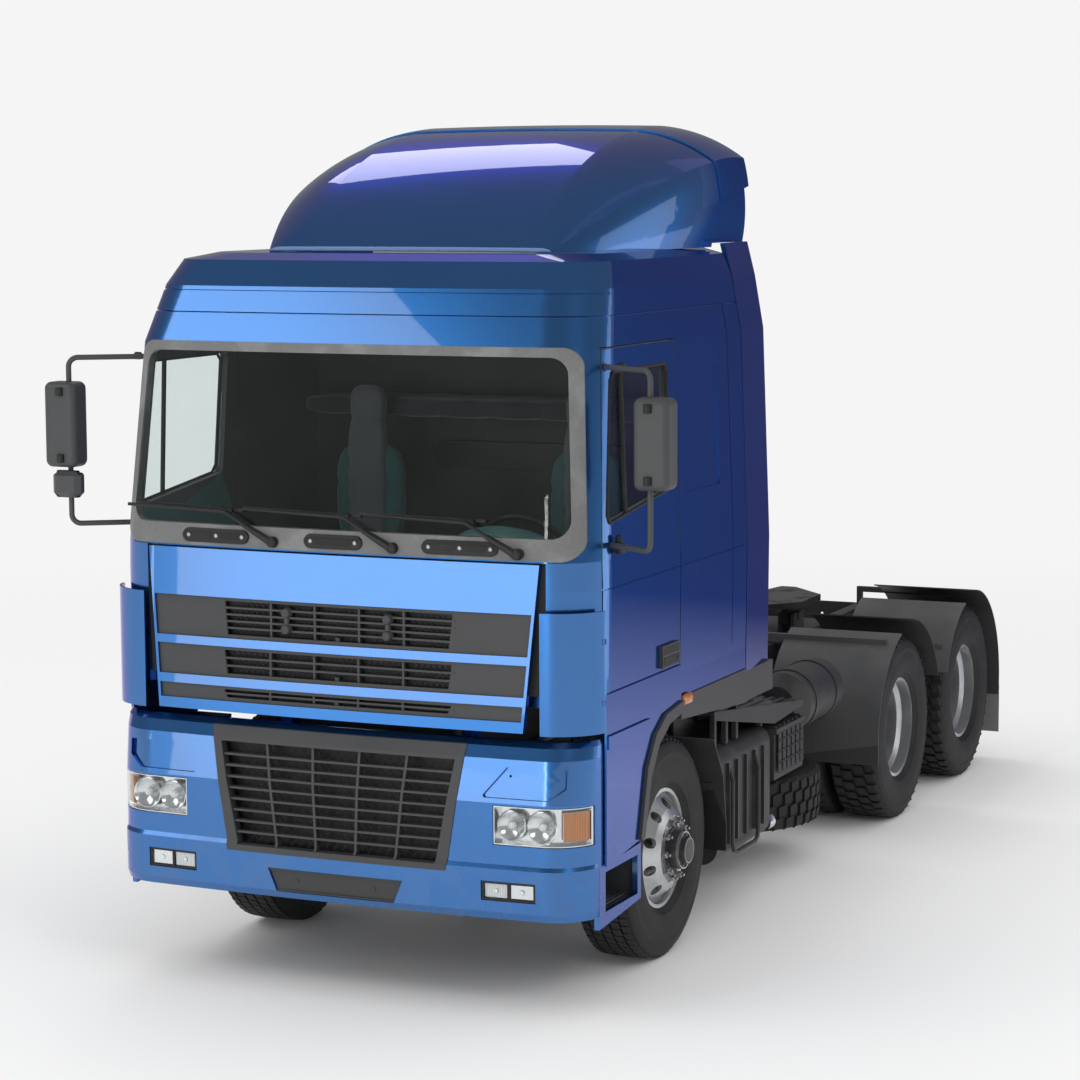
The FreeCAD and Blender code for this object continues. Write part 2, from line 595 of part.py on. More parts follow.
twin_hub = rod("twin_hub", "X", (-s.drum_wall * 2, 0, 0), s.twin_hub_reach, s.twin_hub_radius)
twin_cap = rod("twin_cap", "X", (s.twin_hub_reach - s.drum_wall * 2, 0, 0),
               s.twin_cap_reach, s.twin_cap_radius)
twin_drum = rod("twin_drum", "X", (-s.twin_drum_width, 0, 0), s.twin_drum_width, s.drum_radius)
twin_hollow = rod("twin_hollow", "X", (-s.twin_drum_width - s.overrun, 0, 0),
                  s.twin_drum_width + s.overrun - s.drum_wall * 2, s.drum_radius - s.drum_wall)
twin_bore = rod("twin_bore", "X", (-s.drum_wall * 3, 0, 0), s.twin_hub_reach / 2,
                s.spindle_radius + s.pin_gap)
half_turn = Rotation(Vector(0, 0, 1), HALF_TURN)
inner_wheel = placed("inner_wheel", wheel_form, -wheel_offset, 0, 0)
outer_wheel = placed("outer_wheel", wheel_form, wheel_offset, 0, 0, half_turn)
twin_wheel_form = cut("twin_wheel_form", join(
    "twin_wheel_solid", inner_wheel, outer_wheel, cut("twin_drum_form", twin_drum, twin_hollow),
    twin_hub, twin_cap), twin_bore)
twin_tyre_form = group("twin_tyre_form", placed("inner_tyre", tyre_form, -wheel_offset, 0, 0),
                       placed("outer_tyre", tyre_form, wheel_offset, 0, 0))

wheel_height = s.tyre_radius
front_axle_y = nose + s.front_axle_station
drive_axle_ys = [nose + s.drive_axle_station, nose + s.drive_axle_station + s.bogie_spread]
nodes = []
for side, sign, turn in (("left", 1, Rotation()), ("right", -1, half_turn)):
    centre = (s.front_track / 2 * sign, front_axle_y, wheel_height)
    nodes.append(placed(f"front_tyre_{side}", tyre_form, *centre, turn))
    nodes.append(placed(f"front_rim_{side}", front_wheel_form, *centre, turn))
    for axle, axle_y in enumerate(drive_axle_ys, start=1):
        centre = (s.twin_track / 2 * sign, axle_y, wheel_height)
        nodes.append(placed(f"rear_tyres_{axle}_{side}", twin_tyre_form, *centre, turn))
        nodes.append(placed(f"rear_rims_{axle}_{side}", twin_wheel_form, *centre, turn))

# %% Knuckles and front axle

kingpin_x = s.kingpin_track / 2
eye_low = wheel_height - s.eye_height / 2
eye_top = wheel_height + s.eye_height / 2
axle_eye = rod("axle_eye", "Z", (kingpin_x, front_axle_y, eye_low), s.eye_height, s.eye_radius)
kingpin = rod("kingpin", "Z", (kingpin_x, front_axle_y, eye_low - s.fork_wall),
              s.eye_height + s.fork_wall * 2, s.kingpin_radius)
half_beam = s.beam_depth / 2
beam_low = wheel_height - s.beam_drop - s.beam_height / 2
beam_end = kingpin_x - s.eye_radius / 2
flat_half = s.beam_flat / 2
rise_end = flat_half + s.beam_rise
low_line = [(-beam_end, eye_low), (-rise_end, eye_low), (-flat_half, beam_low),
            (flat_half, beam_low), (rise_end, eye_low), (beam_end, eye_low)]
top_line = [(x, z + s.beam_height) for x, z in reversed(low_line)]
axle_beam = prism("axle_beam", "XZ", low_line + top_line, front_axle_y - half_beam,
                  front_axle_y + half_beam)
front_axle = join("front_axle", axle_beam, axle_eye, kingpin, mirrored("axle_eye_other", axle_eye),
                  mirrored("kingpin_other", kingpin))
nodes.append(front_axle)

fork_gap = s.pin_gap
plate_inner = kingpin_x + s.eye_radius + s.fork_wall / 2
fork_depth = (front_axle_y - s.fork_half_depth, front_axle_y + s.fork_half_depth)
low_fork = block("low_fork", (kingpin_x - s.eye_radius, plate_inner + s.knuckle_plate), fork_depth,
                 (eye_low - fork_gap - s.fork_wall, eye_low - fork_gap))
high_fork = block("high_fork", (kingpin_x - s.eye_radius, plate_inner + s.knuckle_plate), fork_depth,
                  (eye_top + fork_gap, eye_top + fork_gap + s.fork_wall))
fork_plate = block("fork_plate", (plate_inner, plate_inner + s.knuckle_plate), fork_depth,
                   (eye_low - fork_gap - s.fork_wall, eye_top + fork_gap + s.fork_wall))
spindle_end = s.front_track / 2 + drum_end + spindle_length
spindle = rod("spindle", "X", (plate_inner, front_axle_y, wheel_height),
              spindle_end - plate_inner, s.spindle_radius)
pin_bore = rod("pin_bore", "Z", (kingpin_x, front_axle_y, eye_low - s.overrun * 2),
               s.eye_height + s.overrun * 4, s.kingpin_radius + s.pin_gap)
knuckle_left = cut("knuckle_left", join("knuckle_solid", low_fork, high_fork, fork_plate, spindle),
                   pin_bore)
nodes += [knuckle_left, mirrored("knuckle_right", knuckle_left)]

# %% Ladder frame

rail_outer = s.rail_spread / 2
rail_web = rail_outer - s.rail_wall
rail_top = s.rail_bottom + s.rail_height
rail_ys = (nose + s.rail_front_station, nose + s.rail_rear_station)
channel = [(rail_outer, s.rail_bottom), (rail_outer, rail_top),
           (rail_outer - s.rail_flange, rail_top), (rail_outer - s.rail_flange, rail_top - s.rail_wall),
           (rail_web, rail_top - s.rail_wall), (rail_web, s.rail_bottom + s.rail_wall),
           (rail_outer - s.rail_flange, s.rail_bottom + s.rail_wall),
           (rail_outer - s.rail_flange, s.rail_bottom)]
rail = prism("rail", "XZ", channel, *rail_ys)
member_low = s.rail_bottom + (s.rail_height - s.member_height) / 2


def crossmember(name, station):
    """A channel between the rails, open to the rear."""
    front, back = nose + station - s.member_depth / 2, nose + station + s.member_depth / 2
    low, top = member_low, member_low + s.member_height
    outline = [(front, low), (back, low), (back, low + s.rail_wall), (front + s.rail_wall, low + s.rail_wall),
               (front + s.rail_wall, top - s.rail_wall), (back, top - s.rail_wall), (back, top), (front, top)]
    return prism(name, "YZ", outline, -rail_web, rail_web)


members = [crossmember(f"crossmember_{i}", station) for i, station in enumerate(
    (s.member_station, s.tank_member_station, s.bogie_member_station), start=1)]
rear_plate = block("rear_plate", (-rail_web, rail_web),
                   (nose + s.rail_rear_station - s.rail_wall * 2, nose + s.rail_rear_station),
                   (s.rail_bottom, rail_top))
rail_middle = s.rail_bottom + s.rail_height / 2
tow_holes = [rod(f"tow_hole_{i}", "Y", (s.tow_spacing_x / 2 * x_sign, nose + s.rail_rear_station - s.overrun,
                                        rail_middle + s.tow_spacing_z / 2 * z_sign),
                 s.overrun * 2, s.tow_hole_radius)
             for i, (x_sign, z_sign) in enumerate(((-1, -1), (1, -1), (1, 1), (-1, 1)))]
frame_rails = cut("frame_rails", join("frame_solid", rail, mirrored("rail_other", rail), rear_plate, *members),
                  group("tow_holes", *tow_holes))
nodes.append(frame_rails)

# %% Engine, gearbox and radiator as plain blocks

half_engine = s.engine_width / 2
engine_ys = (nose + s.engine_front_station, nose + s.engine_rear_station)
engine = block("engine", (-half_engine, half_engine), engine_ys, (s.engine_bottom, s.engine_top))
gearbox = block("gearbox", (-s.gearbox_width / 2, s.gearbox_width / 2),
                (engine_ys[1], nose + s.gearbox_rear_station), (s.gearbox_bottom, s.gearbox_top))
radiator_rear = s.radiator_station + s.radiator_depth
radiator = block("radiator", (-s.radiator_width / 2, s.radiator_width / 2),
                 (nose + s.radiator_station, nose + radiator_rear),
                 (s.radiator_bottom, s.radiator_top))
shroud = block("shroud", (-s.shroud_width / 2, s.shroud_width / 2),
               (nose + radiator_rear, engine_ys[0]),
               (s.radiator_bottom + s.shroud_drop, s.radiator_top - s.shroud_drop))
feet = []
for i, foot_y in enumerate((engine_ys[0] + s.foot_width, engine_ys[1] - s.foot_width * 2)):
    feet.append(block(f"engine_foot_{i}", (-rail_web, rail_web), (foot_y, foot_y + s.foot_width),
                      (s.foot_bottom, s.foot_bottom + s.foot_height)))
nodes.append(join("engine_block", engine, gearbox, radiator, shroud, *feet))

# %% Springs, drive axles and propeller shafts

spring_outer = s.spring_inner + s.spring_width
spring_front = nose + s.spring_front_station
spring_rear = nose + s.spring_rear_station
spring_low = beam_low + s.beam_height
leaf = s.spring_leaf
eye_line = s.spring_eye_height
spring_outline = [(spring_front, eye_line), (front_axle_y - half_beam, spring_low),
                  (front_axle_y + half_beam, spring_low), (spring_rear, eye_line),
                  (spring_rear, eye_line + leaf), (front_axle_y + half_beam, spring_low + leaf),
                  (front_axle_y - half_beam, spring_low + leaf), (spring_front, eye_line + leaf)]
leaf_spring = prism("leaf_spring", "YZ", spring_outline, s.spring_inner, spring_outer)
hangers = []
for name, hanger_y in (("front", spring_front), ("rear", spring_rear - s.hanger_width)):
    hangers.append(block(f"spring_hanger_{name}", (rail_outer, spring_outer),
                         (hanger_y, hanger_y + s.hanger_width), (eye_line, rail_top - s.rail_flange)))
front_spring = join("front_spring", leaf_spring, *hangers)

bellows, arms, axles = [], [], []
for number, axle_y in enumerate(drive_axle_ys, start=1):
    arm_x = (s.arm_centre - s.arm_width / 2, s.arm_centre + s.arm_width / 2)
    arm_ys = (axle_y - s.arm_reach, axle_y + s.arm_reach)
    arm = block(f"arm_{number}", arm_x, arm_ys, (s.arm_top - s.arm_height, s.arm_top))
    hanger = block(f"arm_hanger_{number}", arm_x,
                   (arm_ys[0], arm_ys[0] + s.hanger_width), (s.arm_top, s.rail_bottom))
    bag_height = s.rail_bottom - s.arm_top
    bag_y = axle_y + s.bellows_station
    bag = rod(f"bag_{number}", "Z", (s.arm_centre, bag_y, s.arm_top), bag_height, s.bellows_radius)
    arms += [arm, hanger, bag]
    tube = rod(f"axle_tube_{number}", "X", (-s.twin_track / 2 + s.twin_drum_width / 2, axle_y, wheel_height),
               s.twin_track - s.twin_drum_width, s.axle_tube_radius)
    stub = rod(f"axle_stub_{number}", "X", (-s.twin_track / 2, axle_y, wheel_height),
               s.twin_track, s.spindle_radius)
    banjo = rod(f"banjo_{number}", "X", (-s.banjo_width / 2, axle_y, wheel_height),
                s.banjo_width, s.banjo_radius)
    pinion = rod(f"pinion_{number}", "Y", (0, axle_y - s.pinion_reach, s.shaft_height),
                 s.pinion_reach, s.pinion_radius)
    axles += [tube, stub, banjo, pinion]
shaft_front = rod("shaft_front", "Y", (0, nose + s.gearbox_rear_station, s.shaft_height),
                  drive_axle_ys[0] - s.pinion_reach - nose - s.gearbox_rear_station, s.shaft_radius)
shaft_rear = rod("shaft_rear", "Y", (0, drive_axle_ys[0], s.shaft_height),
                 s.bogie_spread - s.pinion_reach, s.shaft_radius)
nodes.append(join("drive_axles", *axles, shaft_front, shaft_rear))
rear_arms = join("rear_arms", *arms)
nodes.append(both_sides("suspension", group("suspension_left", front_spring, rear_arms)))

# %% Cab tilt brackets, front beam and rear cab rest

pivot_y = nose + s.pivot_station
beam_front = nose + s.front_beam_front
lug_front = nose + s.lug_front
beam_bottom = s.front_beam_bottom
lug_outline = [(lug_front, beam_bottom), (nose + s.spring_front_station - s.seat_gap * 2, s.rail_bottom),
               (nose + s.spring_front_station - s.seat_gap * 2, rail_top), (pivot_y + s.lug_wall * 2, s.lug_top),
               (lug_front, s.lug_top)]
lug_x = (rail_outer, rail_outer + s.lug_wall)
lug = prism("tilt_lug", "YZ", lug_outline, *lug_x)
arm_x = (lug_x[1] + s.arm_gap, lug_x[1] + s.arm_gap + s.tilt_arm_width)
pivot_pin = rod("pivot_pin", "X", (rail_outer, pivot_y, s.pivot_height),
                arm_x[1] + s.arm_gap - rail_outer, s.pivot_radius)
front_beam = block("front_beam", (-s.front_beam_half, s.front_beam_half), (beam_front, lug_front),
                   (beam_bottom, beam_bottom + s.front_beam_height))
tilt_lug = join("tilt_lug_pin", lug, pivot_pin)
rest_y = nose + s.rest_station
rest_top = s.floor_height - s.seat_gap
rest_posts = block("rest_post", (rail_outer - s.rest_post, rail_outer), (rest_y, rest_y + s.rest_depth),
                   (rail_top, rest_top - s.rest_bar))
rest_bar = block("rest_bar", (-rail_outer, rail_outer), (rest_y, rest_y + s.rest_depth),
                 (rest_top - s.rest_bar, rest_top))
cab_rest = join("cab_rest", rest_posts, mirrored("rest_post_other", rest_posts), rest_bar)
cab_mounts = group("cab_mounts", join("front_mounts", front_beam, tilt_lug, mirrored(
    "tilt_lug_other", tilt_lug)), cab_rest)
nodes.append(cab_mounts)

# %% Bumper, its grille and the front lamps

bumper_rows = [
    (s.bumper_bottom, s.bumper_half, s.bumper_lip_front), (s.bumper_lip, s.bumper_half, s.bumper_chin_front),
    (s.bumper_seam, s.bumper_half, s.seat_gap), (s.bumper_step, s.bumper_half, s.bumper_step_front),
    (s.bumper_mid, s.bumper_half, s.bumper_step_front), (s.bumper_brow, s.bumper_half, s.bumper_brow_front),
    (s.bumper_shoulder, s.bumper_half, s.bumper_shoulder_front),
    (s.bumper_top, s.bumper_half, s.bumper_top_front)]


def bumper_band(outer, inner):
    """The part of the bumper's form between two insets."""
    return band(bumper_rows, outer, inner, s.bumper_rear, s.bumper_run)


bumper_shell = bumper_band(0, s.bumper_wall)

grille_outline = even(s.grille_low_half, s.grille_top_half, s.grille_bottom, s.grille_top)
grille_opening = even(s.opening_low_half, s.opening_top_half, s.opening_bottom, s.opening_top)
bumper_reach = (-s.overrun, s.bumper_rear)


def grown(outline, gap):
    """An outline about its own middle, with each corner moved out by a gap along X and Z."""
    middle_x = sum(float(x) for x, _ in outline) / len(outline)
    middle_z = sum(float(z) for _, z in outline) / len(outline)
    return [(x + (gap if float(x) > middle_x else -gap), z + (gap if float(z) > middle_z else -gap))
            for x, z in outline]


lamp_outline = [(s.lamp_inner, s.lamp_bottom), (s.bumper_half + s.overrun, s.lamp_bottom),
                (s.bumper_half + s.overrun, s.lamp_top), (s.lamp_inner, s.lamp_top)]
fog_outline = [(s.fog_inner, s.fog_bottom), (s.fog_outer, s.fog_bottom), (s.fog_outer, s.fog_top),
               (s.fog_inner, s.fog_top)]
plate_outline = even(s.plate_low_half, s.plate_top_half, s.plate_bottom, s.plate_top)
lamp_holes = front_prism(grown(lamp_outline, s.lamp_gap), -s.overrun, s.lamp_rear + s.lamp_gap)
fog_holes = front_prism(grown(fog_outline, s.lamp_gap), -s.overrun, s.lamp_rear)
plate_recess = bumper_band(-s.bumper_wall, s.plate_depth).common(front_prism(plate_outline, *bumper_reach))
grille_hole = front_prism(grown(grille_outline, s.lamp_gap), *bumper_reach)
# A shallow scoop over each headlamp; the left one has the tow eye's hole in it.
scoop_outline = [(s.scoop_inner, s.scoop_bottom), (s.scoop_turn, s.scoop_bottom),
                 (s.scoop_outer, s.scoop_outer_low), (s.scoop_outer, s.scoop_outer_top),
                 (s.scoop_bend, s.scoop_top)]
scoop = bumper_band(-s.bumper_wall, s.scoop_depth).common(front_prism(scoop_outline, *bumper_reach, s.scoop_round))
eye_hole = Part.makeCylinder(s.tow_eye_radius, s.bumper_rear, Vector(s.tow_eye_place, nose, s.tow_eye_height),
                             Vector(0, 1, 0))
hole_rows = [(s.step_hole_front, s.step_hole_bottom), (s.step_hole_rear, s.step_hole_bottom),
             (s.step_hole_rear, s.step_hole_top), (s.step_hole_front, s.step_hole_top)]
step_hole = side_prism(hole_rows, s.bumper_half - s.bumper_run, s.bumper_half + s.overrun)
for hole in (lamp_holes, other_side(lamp_holes), fog_holes, other_side(fog_holes), plate_recess,
             grille_hole, scoop, other_side(scoop), eye_hole, step_hole, other_side(step_hole)):
    bumper_shell = bumper_shell.cut(hole)

wing_rows = [(s.side_wing_front, s.side_wing_bottom), (s.side_wing_rear, s.side_wing_bottom + s.side_wing_rise),
             (s.side_wing_rear, s.side_wing_top + s.side_wing_rise / 2), (s.side_wing_front, s.side_wing_top)]
side_wing = side_prism(wing_rows, s.side_wing_half - s.side_wing_wall, s.side_wing_half).cut(step_hole)
bumper = shaped("bumper", bumper_shell.fuse([side_wing, other_side(side_wing)]))
nodes.append(bumper)

grille_frame = bumper_band(-s.grille_proud, s.grille_depth).common(
    front_prism(grille_outline, *bumper_reach)).cut(front_prism(grille_opening, *bumper_reach))
slat_face = bumper_band(s.grille_proud, s.grille_proud + s.grille_slat_depth).common(
    front_prism(grille_opening, *bumper_reach))
slats = []
for i in range(int(float(s.grille_slats))):
    slat_z = s.opening_bottom + s.grille_slat_pitch * (i + 1)
    slats.append(slab((-s.grille_top_half, s.grille_top_half), bumper_reach,
                      (slat_z, slat_z + s.grille_slat)))
bar_shares = (-0.6, -0.2, 0.2, 0.6)
for share in bar_shares:
    low_x, top_x = s.opening_low_half * share, s.opening_top_half * share
    slats.append(front_prism([(low_x - s.grille_bar / 2, s.opening_bottom),
                              (low_x + s.grille_bar / 2, s.opening_bottom),
                              (top_x + s.grille_bar / 2, s.opening_top),
                              (top_x - s.grille_bar / 2, s.opening_top)], *bumper_reach))
grille_bars = [slat_face.common(slat) for slat in slats]
nodes.append(shaped("bumper_grille", grille_frame.fuse(grille_bars).removeSplitter()))

headlamp = bumper_band(0, s.lamp_depth).common(front_prism(lamp_outline, -s.overrun, s.lamp_rear))
fog_lamp = bumper_band(s.fog_inset, s.lamp_depth).common(
    front_prism(fog_outline, -s.overrun, s.lamp_rear))
lamp_solids = [headlamp, other_side(headlamp), fog_lamp, other_side(fog_lamp)]
nodes.append(shaped("front_lamps", Part.makeCompound(lamp_solids)))

# %% Entry steps and front mudguards

step_x = (s.step_inner, s.bumper_half - s.bumper_wall - s.seat_gap)
step_ys = (nose + s.step_front, nose + s.step_rear)
treads = [block(f"tread_{i}", step_x, step_ys, (low, low + s.step_tread))
          for i, low in enumerate((s.step_low, s.step_mid, s.step_high))]
step_back = block("step_back", (s.step_inner, s.step_inner + s.step_wall), step_ys,
                  (s.step_low, s.step_high + s.step_tread))
step_wall = block("step_wall", step_x, (step_ys[1] - s.step_wall, step_ys[1]),
                  (s.step_low, s.step_high + s.step_tread))
step_stay = block("step_stay", (spring_outer + s.seat_gap, s.step_inner), (step_ys[1] - s.step_tread, step_ys[1]),
                  (s.rail_bottom + s.stay_height / 2, s.rail_bottom + s.stay_height))
entry_step = join("entry_step", step_back, step_wall, step_stay, *treads)
nodes.append(both_sides("entry_steps", entry_step))

flap_y = front_axle_y + s.guard_radius
guard_mid_share, guard_high_share = 0.93, 0.72
guard_mid_rise_share, guard_high_rise_share = 0.40, 0.72
guard_line = [(flap_y, s.guard_flap_bottom), (flap_y, wheel_height),
              (front_axle_y + s.guard_radius * guard_mid_share,
               wheel_height + s.guard_radius * guard_mid_rise_share),
              (front_axle_y + s.guard_radius * guard_high_share,
               wheel_height + s.guard_radius * guard_high_rise_share)]
guard_back = [(y + s.guard_wall, z + s.guard_wall / 2) for y, z in reversed(guard_line)]
guard_back[-1] = (flap_y + s.guard_wall, s.guard_flap_bottom)
front_guard = prism("front_guard", "YZ", guard_line + guard_back, s.guard_inner, s.guard_outer)
stay_y = front_axle_y + s.guard_radius * guard_mid_share
guard_stay = block("guard_stay", (rail_outer, s.guard_outer - s.overrun), (stay_y, stay_y + s.mud_stay),
                   (s.rail_bottom, s.rail_bottom + s.mud_stay))
nodes.append(both_sides("front_mudguards", join("front_mudguard", front_guard, guard_stay)))

# %% Left side: silencer, battery box, air tank and spare wheel


def rounded_box(x, y, z, round_radius):
    """A box whose long edges along Y are rounded."""
    box = slab(x, y, z)
    edges = [edge for edge in box.Edges if edge.BoundBox.YLength > edge.BoundBox.XLength
             and edge.BoundBox.YLength > edge.BoundBox.ZLength]
    return box.makeFillet(float(round_radius), edges)


silencer_x, silencer_y = (s.silencer_inner, s.silencer_outer), (s.silencer_front, s.silencer_rear)
silencer_box = rounded_box(silencer_x, silencer_y, (s.silencer_bottom, s.silencer_top), s.silencer_round)
pipe_y = nose + s.silencer_rear
tailpipe = Part.makeCylinder(s.tailpipe_radius, s.tailpipe_reach,
                             Vector(s.tailpipe_place - s.tailpipe_radius, pipe_y, s.tailpipe_height
                                    + s.tailpipe_radius), Vector(0, 1, 0))
silencer_stay = slab((rail_outer, s.silencer_inner + s.silencer_round),
                     (s.silencer_front + s.silencer_round, s.silencer_rear - s.silencer_round),
                     (s.rail_bottom + s.rail_wall, s.rail_bottom + s.tank_strap))
bar_pitch = (s.silencer_rear - s.silencer_front) / (s.guard_bars + 1)
shield = []
for i in range(int(float(s.guard_bars))):
    bar_at = s.silencer_front + bar_pitch * (i + 1)
    shield.append(slab((s.silencer_outer, s.silencer_outer + s.guard_bar),
                       (bar_at, bar_at + s.guard_bar),
                       (s.silencer_bottom + s.silencer_round, s.silencer_top - s.silencer_round)))
silencer = silencer_box.fuse([silencer_stay, tailpipe] + shield)
nodes.append(shaped("silencer", silencer))

battery_ys = (nose + s.battery_front, nose + s.battery_rear)
battery_case = block("battery_case", (s.battery_inner, s.battery_outer), battery_ys,
                     (s.battery_bottom, s.battery_top - s.battery_lid))
battery_lid = block("battery_lid_plate", (s.battery_inner - s.battery_rib, s.battery_outer + s.battery_rib),
                    battery_ys, (s.battery_top - s.battery_lid, s.battery_top - s.battery_rib))
rib_pitch = (s.battery_rear - s.battery_front) / s.battery_ribs
ribs = [block(f"battery_rib_{i}", (s.battery_inner, s.battery_outer),
              (battery_ys[0] + rib_pitch * (i + ROUND_SHARE / 2),
               battery_ys[0] + rib_pitch * (i + ROUND_SHARE / 2) + s.battery_rib),
              (s.battery_top - s.battery_rib, s.battery_top))
        for i in range(int(float(s.battery_ribs)))]
battery_stay = block("battery_stay", (rail_outer, s.battery_inner), battery_ys,
                     (s.rail_bottom, s.rail_bottom + s.stay_height))
nodes.append(join("battery_box", battery_case, battery_lid, battery_stay, *ribs))

air_ys = (nose + s.air_tank_front, nose + s.air_tank_rear)
dome_length = s.air_tank_dome
air_barrel = rod("air_barrel", "Y", (s.air_tank_place, air_ys[0] + dome_length, s.air_tank_height),
                 air_ys[1] - air_ys[0] - dome_length * 2, s.air_tank_radius)
dome_radius_share = 0.62
air_parts = [air_barrel]
for name, dome_y, low_share, high_share in (("front", air_ys[0], dome_radius_share, 1),
                                            ("rear", air_ys[1] - dome_length, 1, dome_radius_share)):
    dome = doc.addObject("Part::Cone", f"air_dome_{name}")
    bind(dome, "Radius1", s.air_tank_radius * low_share)
    bind(dome, "Radius2", s.air_tank_radius * high_share)
    bind(dome, "Height", dome_length)
    dome.Placement = Placement(Vector(), Rotation(Vector(1, 0, 0), -RIGHT_ANGLE))
    bind_place(dome, s.air_tank_place, dome_y, s.air_tank_height)
    air_parts.append(dome)
for i, strap_y in enumerate((air_ys[0] + dome_length * 2, air_ys[1] - dome_length * 2 - s.tank_strap)):
    air_parts.append(rod(f"air_strap_{i}", "Y", (s.air_tank_place, strap_y, s.air_tank_height),
                         s.tank_strap, s.air_tank_radius + s.tank_strap_wall))
    air_parts.append(block(f"air_stay_{i}", (rail_outer, s.air_tank_place), (strap_y, strap_y + s.tank_strap),
                           (s.air_tank_height - s.tank_strap / 2, s.air_tank_height + s.tank_strap / 2)))
nodes.append(join("air_tank", *air_parts))

spare_y = nose + s.spare_station
lying = Rotation(Vector(0, 1, 0), -RIGHT_ANGLE)
spare_parts = [placed("spare_tyre", tyre_form, s.spare_place, spare_y, s.spare_height, lying),
               placed("spare_rim", wheel_form, s.spare_place, spare_y, s.spare_height, lying)]
carrier_low = s.spare_height + wheel_offset + s.seat_gap
carrier_half = s.carrier_width / 2
carrier_bar = block("carrier_bar", (-rail_web, s.spare_place + s.bulge_radius),
                    (spare_y - carrier_half, spare_y + carrier_half),
                    (carrier_low, carrier_low + s.carrier_wall))
carrier_posts = [block(f"carrier_post_{i}", (x, x + s.carrier_wall),
                       (spare_y - carrier_half, spare_y + carrier_half),
                       (carrier_low + s.carrier_wall, s.rail_bottom))
                 for i, x in enumerate((-rail_web, rail_web - s.carrier_wall))]
nodes.append(group("spare_wheel", *spare_parts))
nodes.append(join("spare_carrier", carrier_bar, *carrier_posts))

# %% Right side: fuel tank

fuel_x, fuel_y = (-s.fuel_outer, -s.fuel_inner), (s.fuel_front, s.fuel_rear)
fuel_tank = rounded_box(fuel_x, fuel_y, (s.fuel_bottom, s.fuel_top), s.fuel_round)
straps = []
for strap_at in (s.fuel_front + s.fuel_strap_inset, s.fuel_rear - s.fuel_strap_inset - s.tank_strap):
    strap_box = slab((-s.fuel_outer - s.tank_strap_wall, -s.fuel_inner + s.tank_strap_wall),
                     (strap_at, strap_at + s.tank_strap),
                     (s.fuel_bottom + s.fuel_round, s.fuel_top - s.fuel_round))
    straps.append(strap_box)
    straps.append(slab((-s.fuel_inner, -rail_outer), (strap_at, strap_at + s.tank_strap),
                       (s.rail_bottom, s.rail_bottom + s.stay_height)))
fuel_cap = Part.makeCylinder(s.fuel_cap_radius, s.fuel_cap_height,
                             Vector(-s.fuel_outer + s.fuel_round * 2, nose + s.fuel_front + s.fuel_round * 3,
                                    s.fuel_top))
nodes.append(shaped("fuel_tank", fuel_tank.fuse(straps + [fuel_cap])))

# %% Rear mudguards, flaps and tail lamps

axle_1, axle_2 = drive_axle_ys


def arc_sheet(name, axle_y, guard_radius, start, end):
    """A sheet round an axle, its angles taken from straight ahead up and over to the rear."""
    def rim(reach, angle):
        turn = math.radians(angle)
        return Vector(s.mud_inner, axle_y - reach * math.cos(turn), wheel_height + reach * math.sin(turn))

    outer_radius, middle = guard_radius + s.mud_wall, (start + end) / 2
    edges = [Part.Arc(*[rim(guard_radius, angle) for angle in (start, middle, end)]).toShape(),
             Part.makeLine(rim(guard_radius, end), rim(outer_radius, end)),
             Part.Arc(*[rim(outer_radius, angle) for angle in (end, middle, start)]).toShape(),
             Part.makeLine(rim(outer_radius, start), rim(guard_radius, start))]
    return shaped(name, Part.Face(Part.Wire(edges)).extrude(Vector(s.mud_outer - s.mud_inner, 0, 0)))


def straight_skirt(name, inner_y):
    """The upright strip below a sheet's end."""
    return block(name, (s.mud_inner, s.mud_outer), (inner_y, inner_y + s.mud_wall), (s.mud_low, wheel_height))


def guard_stay_bar(name, y, top):
    """A square bar out from the rail to a sheet's outer edge."""
    return block(name, (rail_outer, s.mud_outer - s.overrun), (y, y + s.mud_stay), (top - s.mud_stay, top))


tail_y = axle_2 + s.mud_rear_radius
sheets = [arc_sheet("mud_front_1", axle_1, s.mud_front_radius, LEVEL, FRONT_END),
          arc_sheet("mud_rear_1", axle_1, s.mud_rear_radius, REAR_START, BETWEEN_END),
          arc_sheet("mud_front_2", axle_2, s.mud_front_radius, HALF_TURN - BETWEEN_END, FRONT_END),
          arc_sheet("mud_tail", axle_2, s.mud_rear_radius, REAR_START, HALF_TURN),
          straight_skirt("mud_front_skirt", axle_1 - s.mud_front_radius - s.mud_wall),
          straight_skirt("mud_tail_skirt", tail_y)]
flap_front = tail_y + s.mud_wall
flap = block("mud_flap", (s.mud_inner, s.mud_outer), (flap_front, flap_front + s.flap_wall),
             (s.flap_bottom, s.mud_low + s.flap_overlap))
end_stays = ((axle_1 - s.mud_stay_reach, s.mud_front_stay), (axle_2 + s.mud_stay_reach, s.mud_tail_stay))
mud_stays = [guard_stay_bar(f"mud_stay_{i}", y, top) for i, (y, top) in enumerate(end_stays)]
mud_posts = [block(f"mud_post_{i}", (rail_outer, rail_outer + s.mud_stay), (y, y + s.mud_stay),
                   (s.mud_stay_height, top - s.mud_stay)) for i, (y, top) in enumerate(end_stays)]
mid_stays = [guard_stay_bar("mid_stay_rear", axle_1 + s.mud_mid_rear, s.mud_mid_stay),
             guard_stay_bar("mid_stay_front", axle_2 - s.mud_mid_front, s.mud_mid_stay)]
rear_guard = join("rear_mudguard", *sheets, flap, *mud_stays, *mud_posts, *mid_stays)
nodes.append(both_sides("rear_mudguards", rear_guard))

